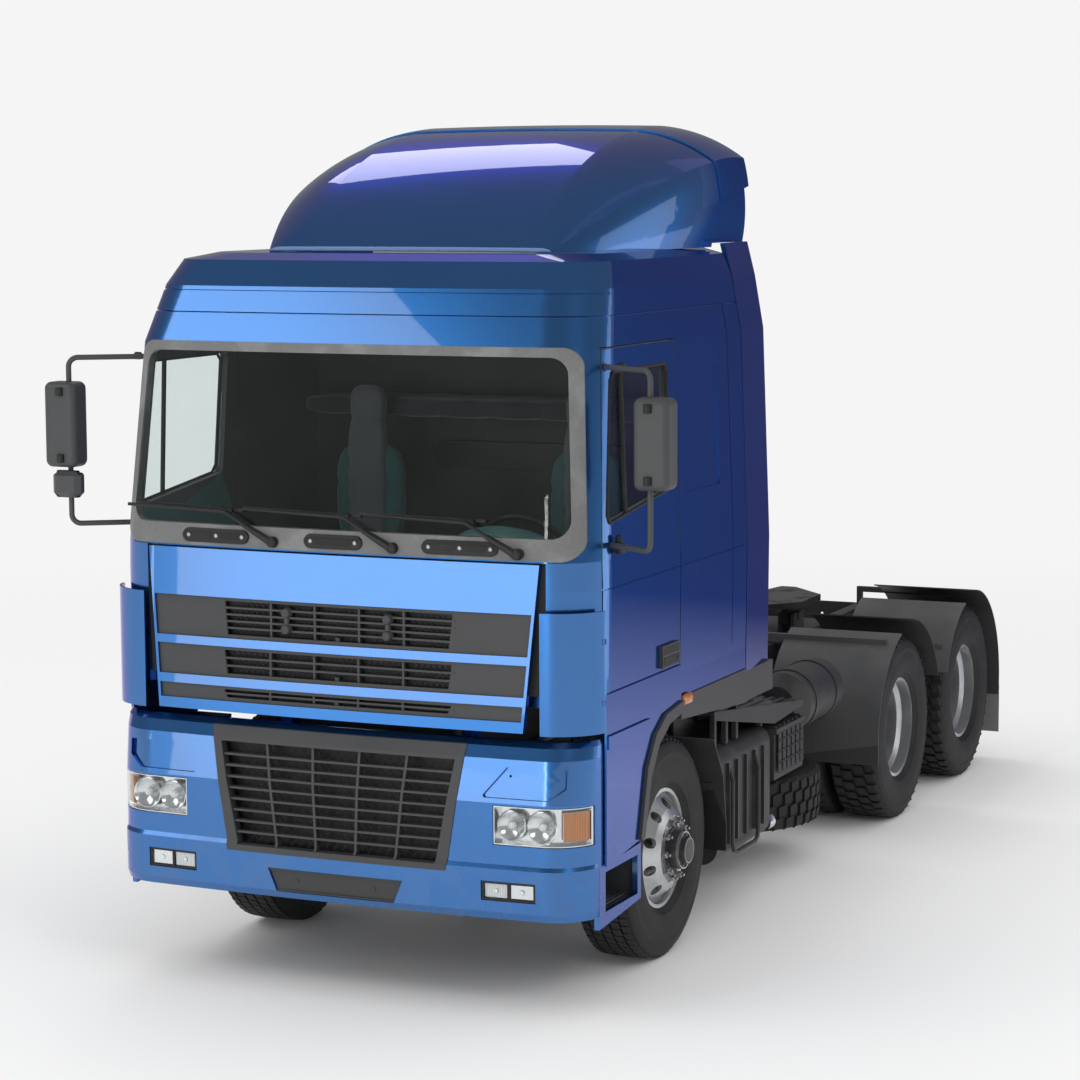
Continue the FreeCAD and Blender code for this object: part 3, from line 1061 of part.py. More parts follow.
lamp_low, lamp_high = s.tail_lamp_bottom, s.tail_lamp_bottom + s.tail_lamp_height
tail_lamp = prism("tail_lamp", "YZ", [(nose + s.tail_lamp_low_station, lamp_low), (nose + s.tail_lamp_rear, lamp_low),
                                      (nose + s.tail_lamp_rear, lamp_high),
                                      (nose + s.tail_lamp_high_station, lamp_high)],
                  s.tail_lamp_inner, s.tail_lamp_inner + s.tail_lamp_width)
nodes.append(both_sides("tail_lamps", tail_lamp))

# %% Fifth wheel and its saddle

coupling_y = nose + s.coupling_station
plate_low = s.coupling_top - s.coupling_wall
half_throat = s.coupling_throat / 2
r = s.coupling_radius
front_edge, rear_edge = coupling_y - s.coupling_front, coupling_y + s.coupling_rear
nose_half = s.coupling_nose
half_slot = r + s.coupling_slot_gap
plate_line = [(-nose_half, front_edge), (nose_half, front_edge), (s.coupling_half, coupling_y - nose_half / 2),
              (s.coupling_half, coupling_y + nose_half), (half_throat * 2, rear_edge), (half_throat, rear_edge),
              (half_slot, coupling_y + nose_half / 2), (half_slot, coupling_y), (-half_slot, coupling_y),
              (-half_slot, coupling_y + nose_half / 2), (-half_throat, rear_edge), (-half_throat * 2, rear_edge),
              (-s.coupling_half, coupling_y + nose_half), (-s.coupling_half, coupling_y - nose_half / 2)]
top_plate = prism("top_plate", "XY", plate_line, plate_low, s.coupling_top)
king_hole = rod("king_hole", "Z", (0, coupling_y, plate_low - s.overrun * 2), s.overrun * 4, r)
lock_block = block("lock_block", (-half_throat, half_throat), (coupling_y - half_throat, coupling_y),
                   (plate_low - s.lock_depth, plate_low))
side_webs = []
for name, sign in (("left", 1), ("right", -1)):
    web_x = s.coupling_side * sign
    side_webs.append(block(f"side_web_{name}", (web_x - s.coupling_web / 2, web_x + s.coupling_web / 2),
                           (coupling_y - s.coupling_skirt * 2, coupling_y + s.coupling_skirt * 2),
                           (s.coupling_pivot_height - s.coupling_web, plate_low)))
pin_bores = rod("pin_bores", "X", (-s.coupling_half, coupling_y, s.coupling_pivot_height),
                s.coupling_half * 2, s.coupling_pin + s.pin_gap)
fifth_wheel = cut("fifth_wheel", join("fifth_wheel_solid", top_plate, lock_block, *side_webs),
                  king_hole, pin_bores)
nodes.append(fifth_wheel)

saddle_plate = block("saddle_plate", (-s.saddle_half, s.saddle_half),
                     (nose + s.saddle_front, nose + s.saddle_rear), (rail_top, rail_top + s.saddle_wall))
saddle = [saddle_plate]
for name, sign in (("left", 1), ("right", -1)):
    for post, offset in (("in", -s.coupling_web), ("out", s.coupling_web)):
        post_x = s.coupling_side * sign + offset * sign
        saddle.append(block(f"saddle_post_{name}_{post}", (post_x - s.coupling_web / 2 + s.panel_gap,
                                                          post_x + s.coupling_web / 2 - s.panel_gap),
                            (coupling_y - s.saddle_depth / 2, coupling_y + s.saddle_depth / 2),
                            (rail_top + s.saddle_wall, s.coupling_pivot_height + s.coupling_pin)))
    saddle.append(rod(f"saddle_pin_{name}", "X", (s.coupling_side * sign - s.coupling_web * 1.5, coupling_y,
                                                  s.coupling_pivot_height),
                      s.coupling_web * 3, s.coupling_pin))
nodes.append(join("fifth_wheel_mount", *saddle))

# %% Cab shell, roof and floor

cab_rows = [(s.floor_height, s.floor_half, s.sill_front), (s.belt_height, s.belt_half, s.sill_front),
            (s.sill_height, s.sill_half, s.sill_front), (s.head_height, s.head_half, s.head_front),
            (s.eave_height, s.eave_half, s.eave_front), (s.brow_height, s.brow_half, s.brow_front),
            (s.crown_height, s.crown_half, s.crown_front)]


def cab_band(outer, inner, low=None, high=None):
    """The cab's wall between two insets and two heights, round the front and sides."""
    low = s.floor_height if low is None else low
    high = s.brow_height if high is None else high
    return band(rows_between(cab_rows, low, high), outer, inner, s.cab_rear - s.cab_wall)


far = s.cab_rear + s.overrun
wide = s.vane_half + s.overrun
high = s.crown_height + s.overrun

door_line = [(s.door_front, s.door_bottom), (s.door_rear, s.door_bottom), (s.door_rear, s.door_top),
             (s.door_pillar_top, s.door_top), (s.door_front, s.door_bend_height)]
window_line = [(s.glass_front, s.glass_front_low), (s.glass_rear, s.glass_rear_low),
               (s.glass_rear_top, s.glass_high), (s.glass_front_top, s.glass_high)]
wall_inner = s.brow_half - s.cab_wall * 4


def spread(outline, gap):
    """A (station, height) outline with every side moved out by a gap."""
    face = Part.Face(Part.makePolygon([Vector(y, z, 0) for y, z in outline + outline[:1]]))
    grown_face = face.makeOffset2D(float(gap), 2)
    return [(vertex.X, vertex.Y) for vertex in grown_face.OuterWire.OrderedVertexes]


def wall_prism(outline, round_radius=0):
    """An outline pushed out through the left wall of the cab."""
    return side_prism(outline, wall_inner, wide, round_radius)


door_hole = wall_prism(spread(door_line, s.panel_gap))
lid_recess = slab((-s.firewall_half, s.firewall_half), (0, s.firewall_front),
                  (s.floor_height, s.sill_height))
firewall = slab((-s.firewall_half, s.firewall_half), (s.firewall_front, s.firewall_front + s.cab_wall),
                (s.floor_height, s.sill_height))
frame_line = even(s.frame_low_half, s.frame_top_half, s.frame_bottom, s.frame_top)
pane_line = even(s.pane_low_half, s.pane_top_half, s.pane_bottom, s.pane_top)
screen_hole = front_prism(grown(frame_line, s.seat_gap), -s.overrun, s.screen_reach, s.frame_round)
panel_line = [(s.panel_front, s.panel_bottom), (s.panel_rear, s.panel_bottom),
              (s.panel_rear, s.panel_top), (s.panel_front, s.panel_top)]
panel_mark = cab_band(-s.cab_wall, s.panel_depth, s.belt_height, s.eave_height).common(
    wall_prism(panel_line, s.panel_depth * 4))
split_low = s.roof_split_height - s.panel_gap / 2
split_high = s.roof_split_height + s.panel_gap / 2
seam_mark = cab_band(-s.cab_wall, s.seam_depth).common(
    slab((wall_inner, wide), (s.seam_station, s.seam_station + s.seam_width), (s.floor_height, high)))
swage_mark = cab_band(-s.cab_wall, s.seam_depth, s.floor_height, s.sill_height).common(
    slab((wall_inner, wide), (s.door_front - s.panel_gap, s.cab_rear), (s.swage_low, s.swage_low + s.swage_width)))
side_marks = [panel_mark, seam_mark, swage_mark]
floor_top = s.floor_height + s.floor_wall
floor_plate = plate(rows_between(cab_rows, s.floor_height, floor_top), 0, s.cab_rear - s.cab_wall)


def rear_wall(rows):
    """The flat rear wall, as wide as the cab at each height."""
    sections = []
    for height, half, _ in rows:
        corners = [(-half, s.cab_rear - s.cab_wall), (half, s.cab_rear - s.cab_wall), (half, s.cab_rear),
                   (-half, s.cab_rear)]
        points = [Vector(x, nose + y, height) for x, y in corners]
        sections.append(Part.makePolygon(points + points[:1]))
    solid = Part.makeLoft(sections, True, True)
    if solid.Volume < 0:
        solid.reverse()
    return solid


walls = cab_band(0, s.cab_wall, floor_top, split_low)
for tool in [lid_recess, door_hole, other_side(door_hole), screen_hole] + side_marks + [
        other_side(mark) for mark in side_marks]:
    walls = walls.cut(tool)
shell = walls.fuse([floor_plate.cut(lid_recess).cut(door_hole).cut(other_side(door_hole)), firewall,
                    rear_wall(rows_between(cab_rows, s.floor_height, split_low))])
skirt_x = (s.floor_half - s.skirt_wall, s.floor_half)
skirt = slab(skirt_x, (s.door_rear + s.panel_gap, s.cab_rear), (s.skirt_bottom, s.floor_height))

# The tilt arms slant back from the pivot to the floor.
arm_half = s.tilt_arm_depth / 2
arm_line = [(s.pivot_station - arm_half, s.pivot_height), (s.pivot_station, s.pivot_height - arm_half),
            (s.pivot_station + arm_half, s.pivot_height - arm_half / 2),
            (s.tilt_arm_foot + s.tilt_arm_depth, s.floor_height), (s.tilt_arm_foot - s.tilt_arm_depth, s.floor_height),
            (s.pivot_station - arm_half / 2, s.pivot_height + arm_half)]
arm_bore = Part.makeCylinder(s.pivot_radius + s.pin_gap, s.tilt_arm_width,
                             Vector(arm_x[0], pivot_y, s.pivot_height), Vector(1, 0, 0))
tilt_arm = side_prism(arm_line, *arm_x).cut(arm_bore)
# Two lugs on the firewall carry the pins that the front lid swings on.
lug_half = s.lid_hinge_width / 2
lid_lugs, lid_notches = [], []
for sign in (-1, 1):
    lug_at = s.lid_hinge_place * sign
    lug_low, lug_high = s.lid_hinge_height - s.lid_pin_radius, s.lid_hinge_height + s.lid_pin_radius
    lid_lugs.append(slab((lug_at - lug_half, lug_at + lug_half),
                         (s.lid_hinge_station, s.firewall_front + s.cab_wall / 2), (lug_low, lug_high)))
    pin_start = Vector(lug_at - s.lid_hinge_width, nose + s.lid_hinge_station, s.lid_hinge_height)
    lid_lugs.append(Part.makeCylinder(s.lid_pin_radius, s.lid_hinge_width * 2, pin_start, Vector(1, 0, 0)))
    notch_half = lug_half + s.lid_slot_room
    lid_notches.append(slab((lug_at - notch_half, lug_at + notch_half),
                            (s.lid_hinge_station - s.lid_slot_room, s.firewall_front),
                            (lug_low - s.lid_slot_room, s.lid_top + s.overrun)))
    bore_start = pin_start - Vector(s.pin_gap, 0, 0)
    lid_notches.append(Part.makeCylinder(s.lid_pin_radius + s.pin_gap, s.lid_hinge_width * 2 + s.pin_gap * 2,
                                         bore_start, Vector(1, 0, 0)))
cab_shell = shell.fuse([skirt, other_side(skirt), tilt_arm, other_side(tilt_arm)] + lid_lugs)
nodes.append(shaped("cab_shell", cab_shell))

roof_rows = rows_between(cab_rows, split_high, s.brow_height)
roof_rim = cab_band(s.panel_gap, s.cab_wall, split_low, split_high)
roof_rim_rear = rear_wall([(height, half - s.panel_gap, front) for height, half, front
                           in rows_between(cab_rows, split_low, split_high)])
roof_top = plate(rows_between(cab_rows, s.brow_height, s.crown_height), 0, s.cab_rear)
visor_mark = cab_band(-s.cab_wall, s.seam_depth, split_high, s.eave_height).common(
    slab((-s.eave_half, s.eave_half), (0, s.visor_groove_rear), (s.visor_groove, s.visor_groove + s.swage_width)))
cab_roof = cab_band(0, s.cab_wall, split_high, s.brow_height).cut(visor_mark).fuse(
    [rear_wall(roof_rows), roof_rim, roof_rim_rear, roof_top])
nodes.append(shaped("cab_roof", cab_roof))

# %% Windscreen, its frame with the cowl, and the wipers

frame_prism = front_prism(frame_line, -s.overrun, s.screen_reach, s.frame_round)
pane_prism = front_prism(pane_line, -s.overrun, s.screen_reach, s.frame_round - s.frame_proud)
pane_fit = front_prism(grown(pane_line, -s.seat_gap), -s.overrun, s.screen_reach,
                       s.frame_round - s.frame_proud)
screen_low, screen_high = s.sill_height - s.panel_gap, s.frame_top + s.overrun
screen_frame = cab_band(-s.frame_proud, s.frame_depth, screen_low, screen_high).common(frame_prism).cut(
    pane_prism)
windscreen = cab_band(s.pane_inset, s.pane_inset + s.pane_wall, screen_low, screen_high).common(pane_fit)
nodes.append(shaped("windscreen", windscreen))


def front_y(height):
    """The station of the cab's middle line at a height on the windscreen."""
    share = (height - s.sill_height) / (s.head_height - s.sill_height)
    return s.sill_front + (s.head_front - s.sill_front) * share


wipers = []
for i in range(3):
    pivot_x = s.wiper_first_place + s.wiper_pitch * i
    boss_at = Vector(pivot_x, nose + front_y(s.wiper_pivot_height) - s.wiper_lift, s.wiper_pivot_height)
    boss = Part.makeCylinder(s.wiper_pivot_radius, s.wiper_lift + s.front_bow * 2, boss_at, Vector(0, 1, 0))
    knee_x, tip_x = pivot_x - s.wiper_knee_reach, pivot_x - s.wiper_tip_reach
    knee = Vector(knee_x, nose + front_y(s.wiper_knee_height) - s.wiper_lift, s.wiper_knee_height)
    arm = pipe([boss_at + Vector(0, s.wiper_arm, 0), knee, Vector(
        tip_x, nose + front_y(s.wiper_tip_height), s.wiper_tip_height)], s.wiper_arm, s.wiper_arm * 3)
    wipers += [boss, arm]
nodes.append(shaped("windscreen_frame", screen_frame.fuse(wipers)))

# %% Front lid that covers the service panel, and the grille behind its openings

lid_rows = [(s.lid_bottom, s.sill_half, s.lid_low_front), (s.lid_top, s.sill_half, s.lid_top_front)]
lid_prism_outline = even(s.lid_low_half, s.lid_top_half, s.lid_bottom, s.lid_top)


def lid_band(outer, inner):
    return band(lid_rows, outer, inner, s.bumper_rear)


lid_prism = front_prism(lid_prism_outline, -s.overrun, s.bumper_rear)
lid = lid_band(0, s.lid_wall).common(lid_prism)
lid_slope = (s.lid_top_half - s.lid_low_half) / (s.lid_top - s.lid_bottom)
bands = []
for low, top in ((s.band_1_low, s.band_1_top), (s.band_2_low, s.band_2_top), (s.band_3_low, s.band_3_top)):
    half_low = s.lid_low_half + lid_slope * (low - s.lid_bottom) - s.band_edge
    half_top = s.lid_low_half + lid_slope * (top - s.lid_bottom) - s.band_edge
    bands.append((even(half_low, half_top, low, top), low, top))
for outline, low, top in bands:
    lid = lid.cut(front_prism(grown(outline, s.seat_gap), -s.overrun, s.bumper_rear))
for notch in lid_notches:
    lid = lid.cut(notch)
nodes.append(shaped("front_lid", lid))

def lid_front(height, x_share=0):
    """The station of the lid's face at a height, at a share of the way to its round corner."""
    share = (height - s.lid_bottom) / (s.lid_top - s.lid_bottom)
    return s.lid_low_front + (s.lid_top_front - s.lid_low_front) * share + s.front_bow * x_share


lid_grille = []
slat_counts = (1, 2, 4)
tie_x = s.slot_half + s.slot_edge * 3
tie_shares = (-1, 0, 1)
for (outline, low, top), count in zip(bands, slat_counts):
    grille_sheet = band(rows_between(lid_rows, low, top), s.lid_grille_inset,
                        s.lid_grille_inset + s.lid_grille_wall, s.bumper_rear)
    slot_low, slot_top = low + s.slot_edge, top - s.slot_edge
    slot = even(s.slot_half, s.slot_half + s.slot_edge, slot_low, slot_top)
    grille_sheet = grille_sheet.common(front_prism(outline, -s.overrun, s.bumper_rear)).cut(
        front_prism(slot, -s.overrun, s.bumper_rear))
    strips = []
    face_at = lid_front((low + top) / 2) + s.lid_grille_inset + s.front_bow / 3
    strip_y = (face_at, face_at + s.lid_slat_depth)
    pitch = (slot_top - slot_low) / (count + 1)
    for i in range(count):
        slat_z = slot_low + pitch * (i + 1) - s.lid_slat / 2
        strips.append(slab((-s.slot_half - s.slot_edge * 2, s.slot_half + s.slot_edge * 2), strip_y,
                           (slat_z, slat_z + s.lid_slat)))
    for share in bar_shares:
        bar_x = s.slot_half * share
        strips.append(slab((bar_x - s.lid_bar / 2, bar_x + s.lid_bar / 2), strip_y,
                           (slot_low - s.lid_slat / 2, slot_top + s.lid_slat / 2)))
    lid_grille.append(grille_sheet)
    lid_grille += strips
tie_front = lid_front(s.band_3_top) + s.lid_wall + s.front_bow
for share in tie_shares:
    bar_x = tie_x * share
    lid_grille.append(slab((bar_x - s.lid_bar, bar_x + s.lid_bar), (tie_front, tie_front + s.lid_bar),
                           (s.band_1_low, s.band_3_top)))
    for _, low, top in bands:
        foot_front = lid_front((low + top) / 2) + s.lid_grille_inset + s.front_bow / 2
        lid_grille.append(slab((bar_x - s.lid_bar, bar_x + s.lid_bar), (foot_front, tie_front + s.lid_bar / 2),
                               (low + s.lid_slat, low + s.slot_edge * 2)))
nodes.append(shaped("lid_grille", lid_grille[0].fuse(lid_grille[1:])))

# %% Corner vanes

vane_rows = [(s.vane_bottom, s.vane_half, s.vane_front), (s.vane_top, s.vane_half, s.vane_front)]


vane_zone = slab((s.vane_inner, wide), (-s.overrun, s.vane_rear), (s.vane_bottom, s.vane_top))
vane_sheet = band(vane_rows, 0, s.vane_wall, s.bumper_rear).common(vane_zone)
cab_block = plate(rows_between(cab_rows, s.floor_height, s.belt_height), -s.seat_gap, s.door_rear)
vane_ribs = [slab((s.vane_half - s.vane_rib * 4, s.vane_half - s.vane_wall / 2),
                  (s.vane_rear - s.vane_rib, s.vane_rear), (low, low + s.vane_rib)).cut(cab_block)
             for low in (s.vane_low_rib, s.vane_high_rib)]
vane = vane_sheet.fuse(vane_ribs)
nodes.append(shaped("corner_vanes", Part.makeCompound([vane, other_side(vane)])))

# %% Doors with their wings, glass, mirrors and trim

door_skin = cab_band(0, s.cab_wall, s.floor_height, s.eave_height)
door_panel = door_skin.common(wall_prism(door_line)).cut(
    wall_prism(window_line, s.panel_depth * 4)).cut(swage_mark)
wing_x = (s.wing_offset, s.wing_offset + s.wing_wall)
wing_line = [(s.door_front, s.wing_bottom_front), (s.wing_rear, s.wing_bottom_rear),
             (s.arch_low_station, s.arch_low_height), (s.arch_mid_station, s.arch_mid_height),
             (s.arch_top_station, s.arch_top_height), (s.door_rear, s.arch_end_height),
             (s.door_rear, s.door_bottom + s.wing_overlap), (s.door_front, s.door_bottom + s.wing_overlap)]
wing = side_prism(wing_line, *wing_x)
wing_root = slab((s.floor_half - s.cab_wall, wing_x[1]), (s.door_front + s.corner_run, s.door_rear),
                 (s.door_bottom, s.door_bottom + s.wing_overlap))
rail_bar = slab((wing_x[1], wing_x[1] + s.rail_bar_wall), (s.rail_bar_front, s.rail_bar_rear),
                (s.rail_bar_bottom, s.rail_bar_bottom + s.rail_bar_height))
door = door_panel.fuse([wing, wing_root.common(slab((0, wide), (0, far), (s.door_bottom, s.door_bottom
                                                                          + s.wing_overlap))), rail_bar])
glass_sheet = cab_band(s.door_glass_inset, s.door_glass_inset + s.door_glass_wall, s.sill_height, s.eave_height)
glass = glass_sheet.common(wall_prism(spread(window_line, -s.seat_gap), s.panel_depth * 4))

tube_root = s.mirror_root_half
tube_path = [(tube_root, s.mirror_root_station, s.mirror_top),
             (s.mirror_elbow_half, s.mirror_elbow_station, s.mirror_top),
             (s.mirror_elbow_half, s.mirror_elbow_station, s.mirror_low),
             (tube_root, s.mirror_root_station, s.mirror_low)]
tube = pipe([Vector(x, nose + y, z) for x, y, z in tube_path], s.mirror_tube, s.mirror_bend)
tube = tube.cut(plate(rows_between(cab_rows, s.sill_height, s.head_height), -s.seat_gap, s.door_rear))
head_box = slab((s.mirror_head_inner, s.mirror_head_outer), (s.mirror_head_front, s.mirror_head_rear),
                (s.mirror_head_bottom, s.mirror_head_top))
head = head_box.makeFillet(float(s.mirror_round), head_box.Edges)
mirror = tube.fuse(head)

band_line = wing_line[1:6]
band_outer = [(y - s.arch_band * 0.8, z + s.arch_band) for y, z in reversed(band_line)]
band_outer[0] = (s.door_rear, s.arch_end_height + s.arch_band)
band_outer[-1] = (s.wing_rear - s.arch_band, s.wing_bottom_rear)
arch_trim = side_prism(band_line + band_outer, wing_x[1], wing_x[1] + s.arch_proud)
handle = slab((s.belt_half - s.handle_wall, s.belt_half + s.handle_wall), (s.handle_front, s.handle_rear),
              (s.handle_bottom, s.handle_bottom + s.handle_height)).cut(cab_band(0, s.cab_wall, s.floor_height, s.belt_height))
trim = Part.makeCompound([arch_trim, handle])
for side, turn_over in (("left", lambda shape: shape), ("right", other_side)):
    nodes.append(shaped(f"door_{side}", turn_over(door)))
    nodes.append(shaped(f"door_glass_{side}", turn_over(glass)))
    nodes.append(shaped(f"mirror_{side}", turn_over(mirror)))
    nodes.append(shaped(f"door_trim_{side}", turn_over(trim)))

# %% Lower side trim, side fairings and roof deflector

trim_x = (s.floor_half - s.trim_wall + s.trim_proud, s.floor_half + s.trim_proud)
trim_line = [(s.door_rear + s.panel_gap, s.arch_end_height - s.trim_wall), (s.panel_front + s.panel_gap * 20,
             s.trim_bottom_front), (s.cab_rear, s.trim_bottom_rear), (s.cab_rear, s.skirt_bottom - s.seat_gap),
             (s.door_rear + s.panel_gap, s.skirt_bottom - s.seat_gap)]
side_trim = side_prism(trim_line, *trim_x)
trim_foot = slab((s.floor_half - s.skirt_wall * 2, s.floor_half - s.skirt_wall), (s.door_rear
                 + s.panel_gap * 8, s.cab_rear), (s.skirt_bottom - s.trim_wall, s.floor_height))
side_trim = side_trim.fuse(trim_foot)

fairing_x = s.head_half
fairing_rows = [(s.fairing_bottom, s.floor_half), (s.belt_height, s.belt_half),
                (s.head_height, s.head_half), (s.eave_height, s.eave_half),
                (s.lower_fairing_top, s.brow_half)]


def fairing_section(height, half, wall):
    corners = [(half - wall, s.fairing_front), (half, s.fairing_front),
               (half - s.fairing_taper, s.fairing_rear), (half - s.fairing_taper - wall, s.fairing_rear)]
    points = [Vector(x, nose + y, height) for x, y in corners]
    return Part.makePolygon(points + points[:1])


fairing_sheet = Part.makeLoft([fairing_section(height, half, s.fairing_wall)
                               for height, half in fairing_rows], True, True)
flange_sections = []
for height, half in fairing_rows:
    corners = [(half - s.fairing_flange, s.cab_rear), (half - s.panel_gap, s.cab_rear),
               (half - s.panel_gap, s.fairing_front + s.fairing_wall),
               (half - s.fairing_flange, s.fairing_front + s.fairing_wall)]
    points = [Vector(x, nose + y, height) for x, y in corners]
    flange_sections.append(Part.makePolygon(points + points[:1]))
flange = Part.makeLoft(flange_sections, True, True).common(
    slab((0, wide), (s.cab_rear, far + s.overrun), (s.floor_height, s.eave_height)))
fairing = fairing_sheet.fuse(flange)
nodes.append(shaped("side_fairings", Part.makeCompound([fairing, other_side(fairing)])))

rear_trim_line = [(s.fairing_front, s.trim_bottom_rear), (s.fairing_rear, s.trim_bottom_rear),
                  (s.fairing_rear, s.fairing_bottom - s.seat_gap), (s.fairing_front, s.fairing_bottom - s.seat_gap)]
rear_trim = side_prism(rear_trim_line, trim_x[0] - s.fairing_taper, trim_x[1] - s.fairing_taper / 2)
side_trims = [side_trim, rear_trim]
nodes.append(shaped("cab_side_trim", Part.makeCompound(
    side_trims + [other_side(piece) for piece in side_trims])))

# Rows: station, half widths at the base, at the side's top and of the flat, then the heights of
# the side's top, of the flat's edge and of the ridge.
deflector_shares = ((0.0, 1.0, 0.99, 0.92, 0.02, 0.038, 0.042), (0.1, 1.11, 1.08, 0.85, 0.14, 0.235, 0.25),
                    (0.275, 1.24, 1.2, 0.82, 0.34, 0.52, 0.54), (0.51, 1.35, 1.31, 0.82, 0.54, 0.78, 0.8),
                    (0.77, 1.41, 1.385, 0.82, 0.68, 0.94, 0.955), (1.0, 1.44, 1.425, 0.83, 0.71, 0.985, 1.0))
SIDE_BULGE_SHARE = 0.06
SHOULDER_SHARE = 0.6


def deflector_section(row, inset, sink):
    """A cross-section of the deflector, open below once its inside is taken away."""
    station, base_share, side_share, flat_share, side_rise, flat_rise, ridge_rise = row
    y = nose + s.deflector_front + (s.deflector_rear - s.deflector_front) * station
    base = s.crown_height + s.seat_gap
    foot, side, flat = (s.deflector_nose_half * share - inset for share in (base_share, side_share, flat_share))
    low = base - sink
    side_z, flat_z, ridge_z = (base + s.deflector_rise * rise - inset for rise in (side_rise, flat_rise, ridge_rise))
    bulge = (foot + side) / 2 + (side_z - low) * SIDE_BULGE_SHARE
    shoulder_x = flat + (side - flat) * SHOULDER_SHARE
    shoulder_z = side_z + (flat_z - side_z) * SHOULDER_SHARE

    def corner(x, z):
        return Vector(x, y, z)

    edges = [Part.makeLine(corner(-foot, low), corner(foot, low)),
             Part.Arc(corner(foot, low), corner(bulge, (low + side_z) / 2), corner(side, side_z)).toShape(),
             Part.Arc(corner(side, side_z), corner(shoulder_x, shoulder_z), corner(flat, flat_z)).toShape(),
             Part.Arc(corner(flat, flat_z), corner(0, ridge_z), corner(-flat, flat_z)).toShape(),
             Part.Arc(corner(-flat, flat_z), corner(-shoulder_x, shoulder_z), corner(-side, side_z)).toShape(),
             Part.Arc(corner(-side, side_z), corner(-bulge, (low + side_z) / 2), corner(-foot, low)).toShape()]
    return Part.Wire(edges)


def deflector_shell(inset):
    """The deflector's wall, with its outside moved in by inset."""
    inside = inset + s.deflector_wall
    outer_loft = Part.makeLoft([deflector_section(row, inset, 0) for row in deflector_shares], True, False)
    inner_loft = Part.makeLoft([deflector_section(row, inside, inside) for row in deflector_shares], True, False)
    return outer_loft.cut(inner_loft)


def below_split(drop):
    """Everything below the rising line that parts the hood from the side pieces."""
    split = s.deflector_rear + s.overrun
    low, start = s.crown_height - s.overrun, s.crown_height - drop
    return side_prism([(s.deflector_split_front, low), (split, low), (split, s.deflector_split_top - drop),
                       (s.deflector_split_front, start)], -wide, wide)


behind_seam = slab((-wide, wide), (s.deflector_seam, s.deflector_rear + s.overrun),
                   (s.crown_height - s.overrun, s.crown_height + s.deflector_rise * 2))
ahead_of_collar = slab((-wide, wide), (0, s.deflector_seam + s.seat_gap),
                       (s.crown_height - s.overrun, s.crown_height + s.deflector_rise * 2))
hood = deflector_shell(0).cut(below_split(0)).cut(behind_seam)
collar = deflector_shell(-s.deflector_proud).cut(below_split(0)).cut(ahead_of_collar)
over_fairings = slab((-wide, wide), (s.fairing_front - s.seat_gap, s.deflector_rear + s.overrun),
                     (s.crown_height - s.overrun, s.lower_fairing_top + s.seat_gap))
side_pieces = deflector_shell(s.deflector_lap).common(below_split(s.seat_gap)).cut(over_fairings)
deflector = Part.makeCompound([hood, collar, side_pieces])
nodes.append(shaped("roof_deflector", deflector))

# %% Interior: dashboard with the steering wheel, seats and bunks

dash_line = [(s.dash_front, s.floor_height + s.floor_wall + s.seat_gap),
             (s.dash_rear - s.dash_lip, s.floor_height + s.floor_wall + s.seat_gap),
             (s.dash_rear - s.dash_lip, s.dash_bottom + s.dash_lip), (s.dash_rear, s.dash_top - s.dash_lip),
             (s.dash_rear - s.dash_lip / 2, s.dash_top), (s.dash_front, s.dash_top - s.dash_lip / 3)]
inside = plate(rows_between(cab_rows, floor_top, s.head_height), s.cab_wall + s.bunk_clear, s.dash_rear + s.overrun)
dash = side_prism(dash_line, -s.dash_half, s.dash_half).common(inside)
column_top = Vector(s.wheel_place, nose + s.wheel_station, s.wheel_height)
column_foot = Vector(s.wheel_place, nose + s.dash_rear - s.dash_lip, s.dash_top - s.dash_lip * 2)
column_axis = column_top - column_foot
column = Part.makeCylinder(s.column_radius, column_axis.Length, column_foot, column_axis)
rim_ring = Part.makeTorus(s.wheel_radius, s.wheel_rim, column_top, column_axis)
spoke_box = Part.makeBox(s.wheel_radius * 2, s.wheel_rim * 2, s.wheel_rim,
                         Vector(-s.wheel_radius, -s.wheel_rim, -s.wheel_rim / 2))
spoke_box.Placement = Placement(column_top, Rotation(Vector(0, 0, 1), column_axis))
boss = Part.makeCylinder(s.column_radius * 2, s.wheel_rim * 2, column_top - column_axis.normalize() * float(
    s.wheel_rim), column_axis)
nodes.append(shaped("dashboard", dash.fuse([column, rim_ring, spoke_box, boss])))

seat_floor = floor_top + s.seat_gap
seat_parts = []
for name, sign in (("left", 1), ("right", -1)):
    x = s.seat_place * sign
    front = nose + s.seat_station
    cushion_low = s.seat_top - s.seat_cushion
    seat_parts.append(block(f"seat_base_{name}", (x - s.seat_base_width / 2, x + s.seat_base_width / 2),
                            (front + s.seat_back_wall / 2, front + s.seat_depth - s.seat_back_wall / 2),
                            (seat_floor, cushion_low)))
    seat_parts.append(block(f"seat_cushion_{name}", (x - s.seat_width / 2, x + s.seat_width / 2),
                            (front, front + s.seat_depth), (cushion_low, s.seat_top)))
    seat_parts.append(block(f"seat_back_{name}", (x - s.seat_width / 2, x + s.seat_width / 2),
                            (front + s.seat_depth - s.seat_back_wall, front + s.seat_depth),
                            (s.seat_top, s.seat_top + s.seat_back_height)))
    seat_parts.append(block(f"seat_head_{name}", (x - s.head_width / 2, x + s.head_width / 2),
                            (front + s.seat_depth - s.seat_back_wall, front + s.seat_depth),
                            (s.seat_top + s.seat_back_height,
                             s.seat_top + s.seat_back_height + s.head_height_size)))
nodes.append(join("seats", *seat_parts))

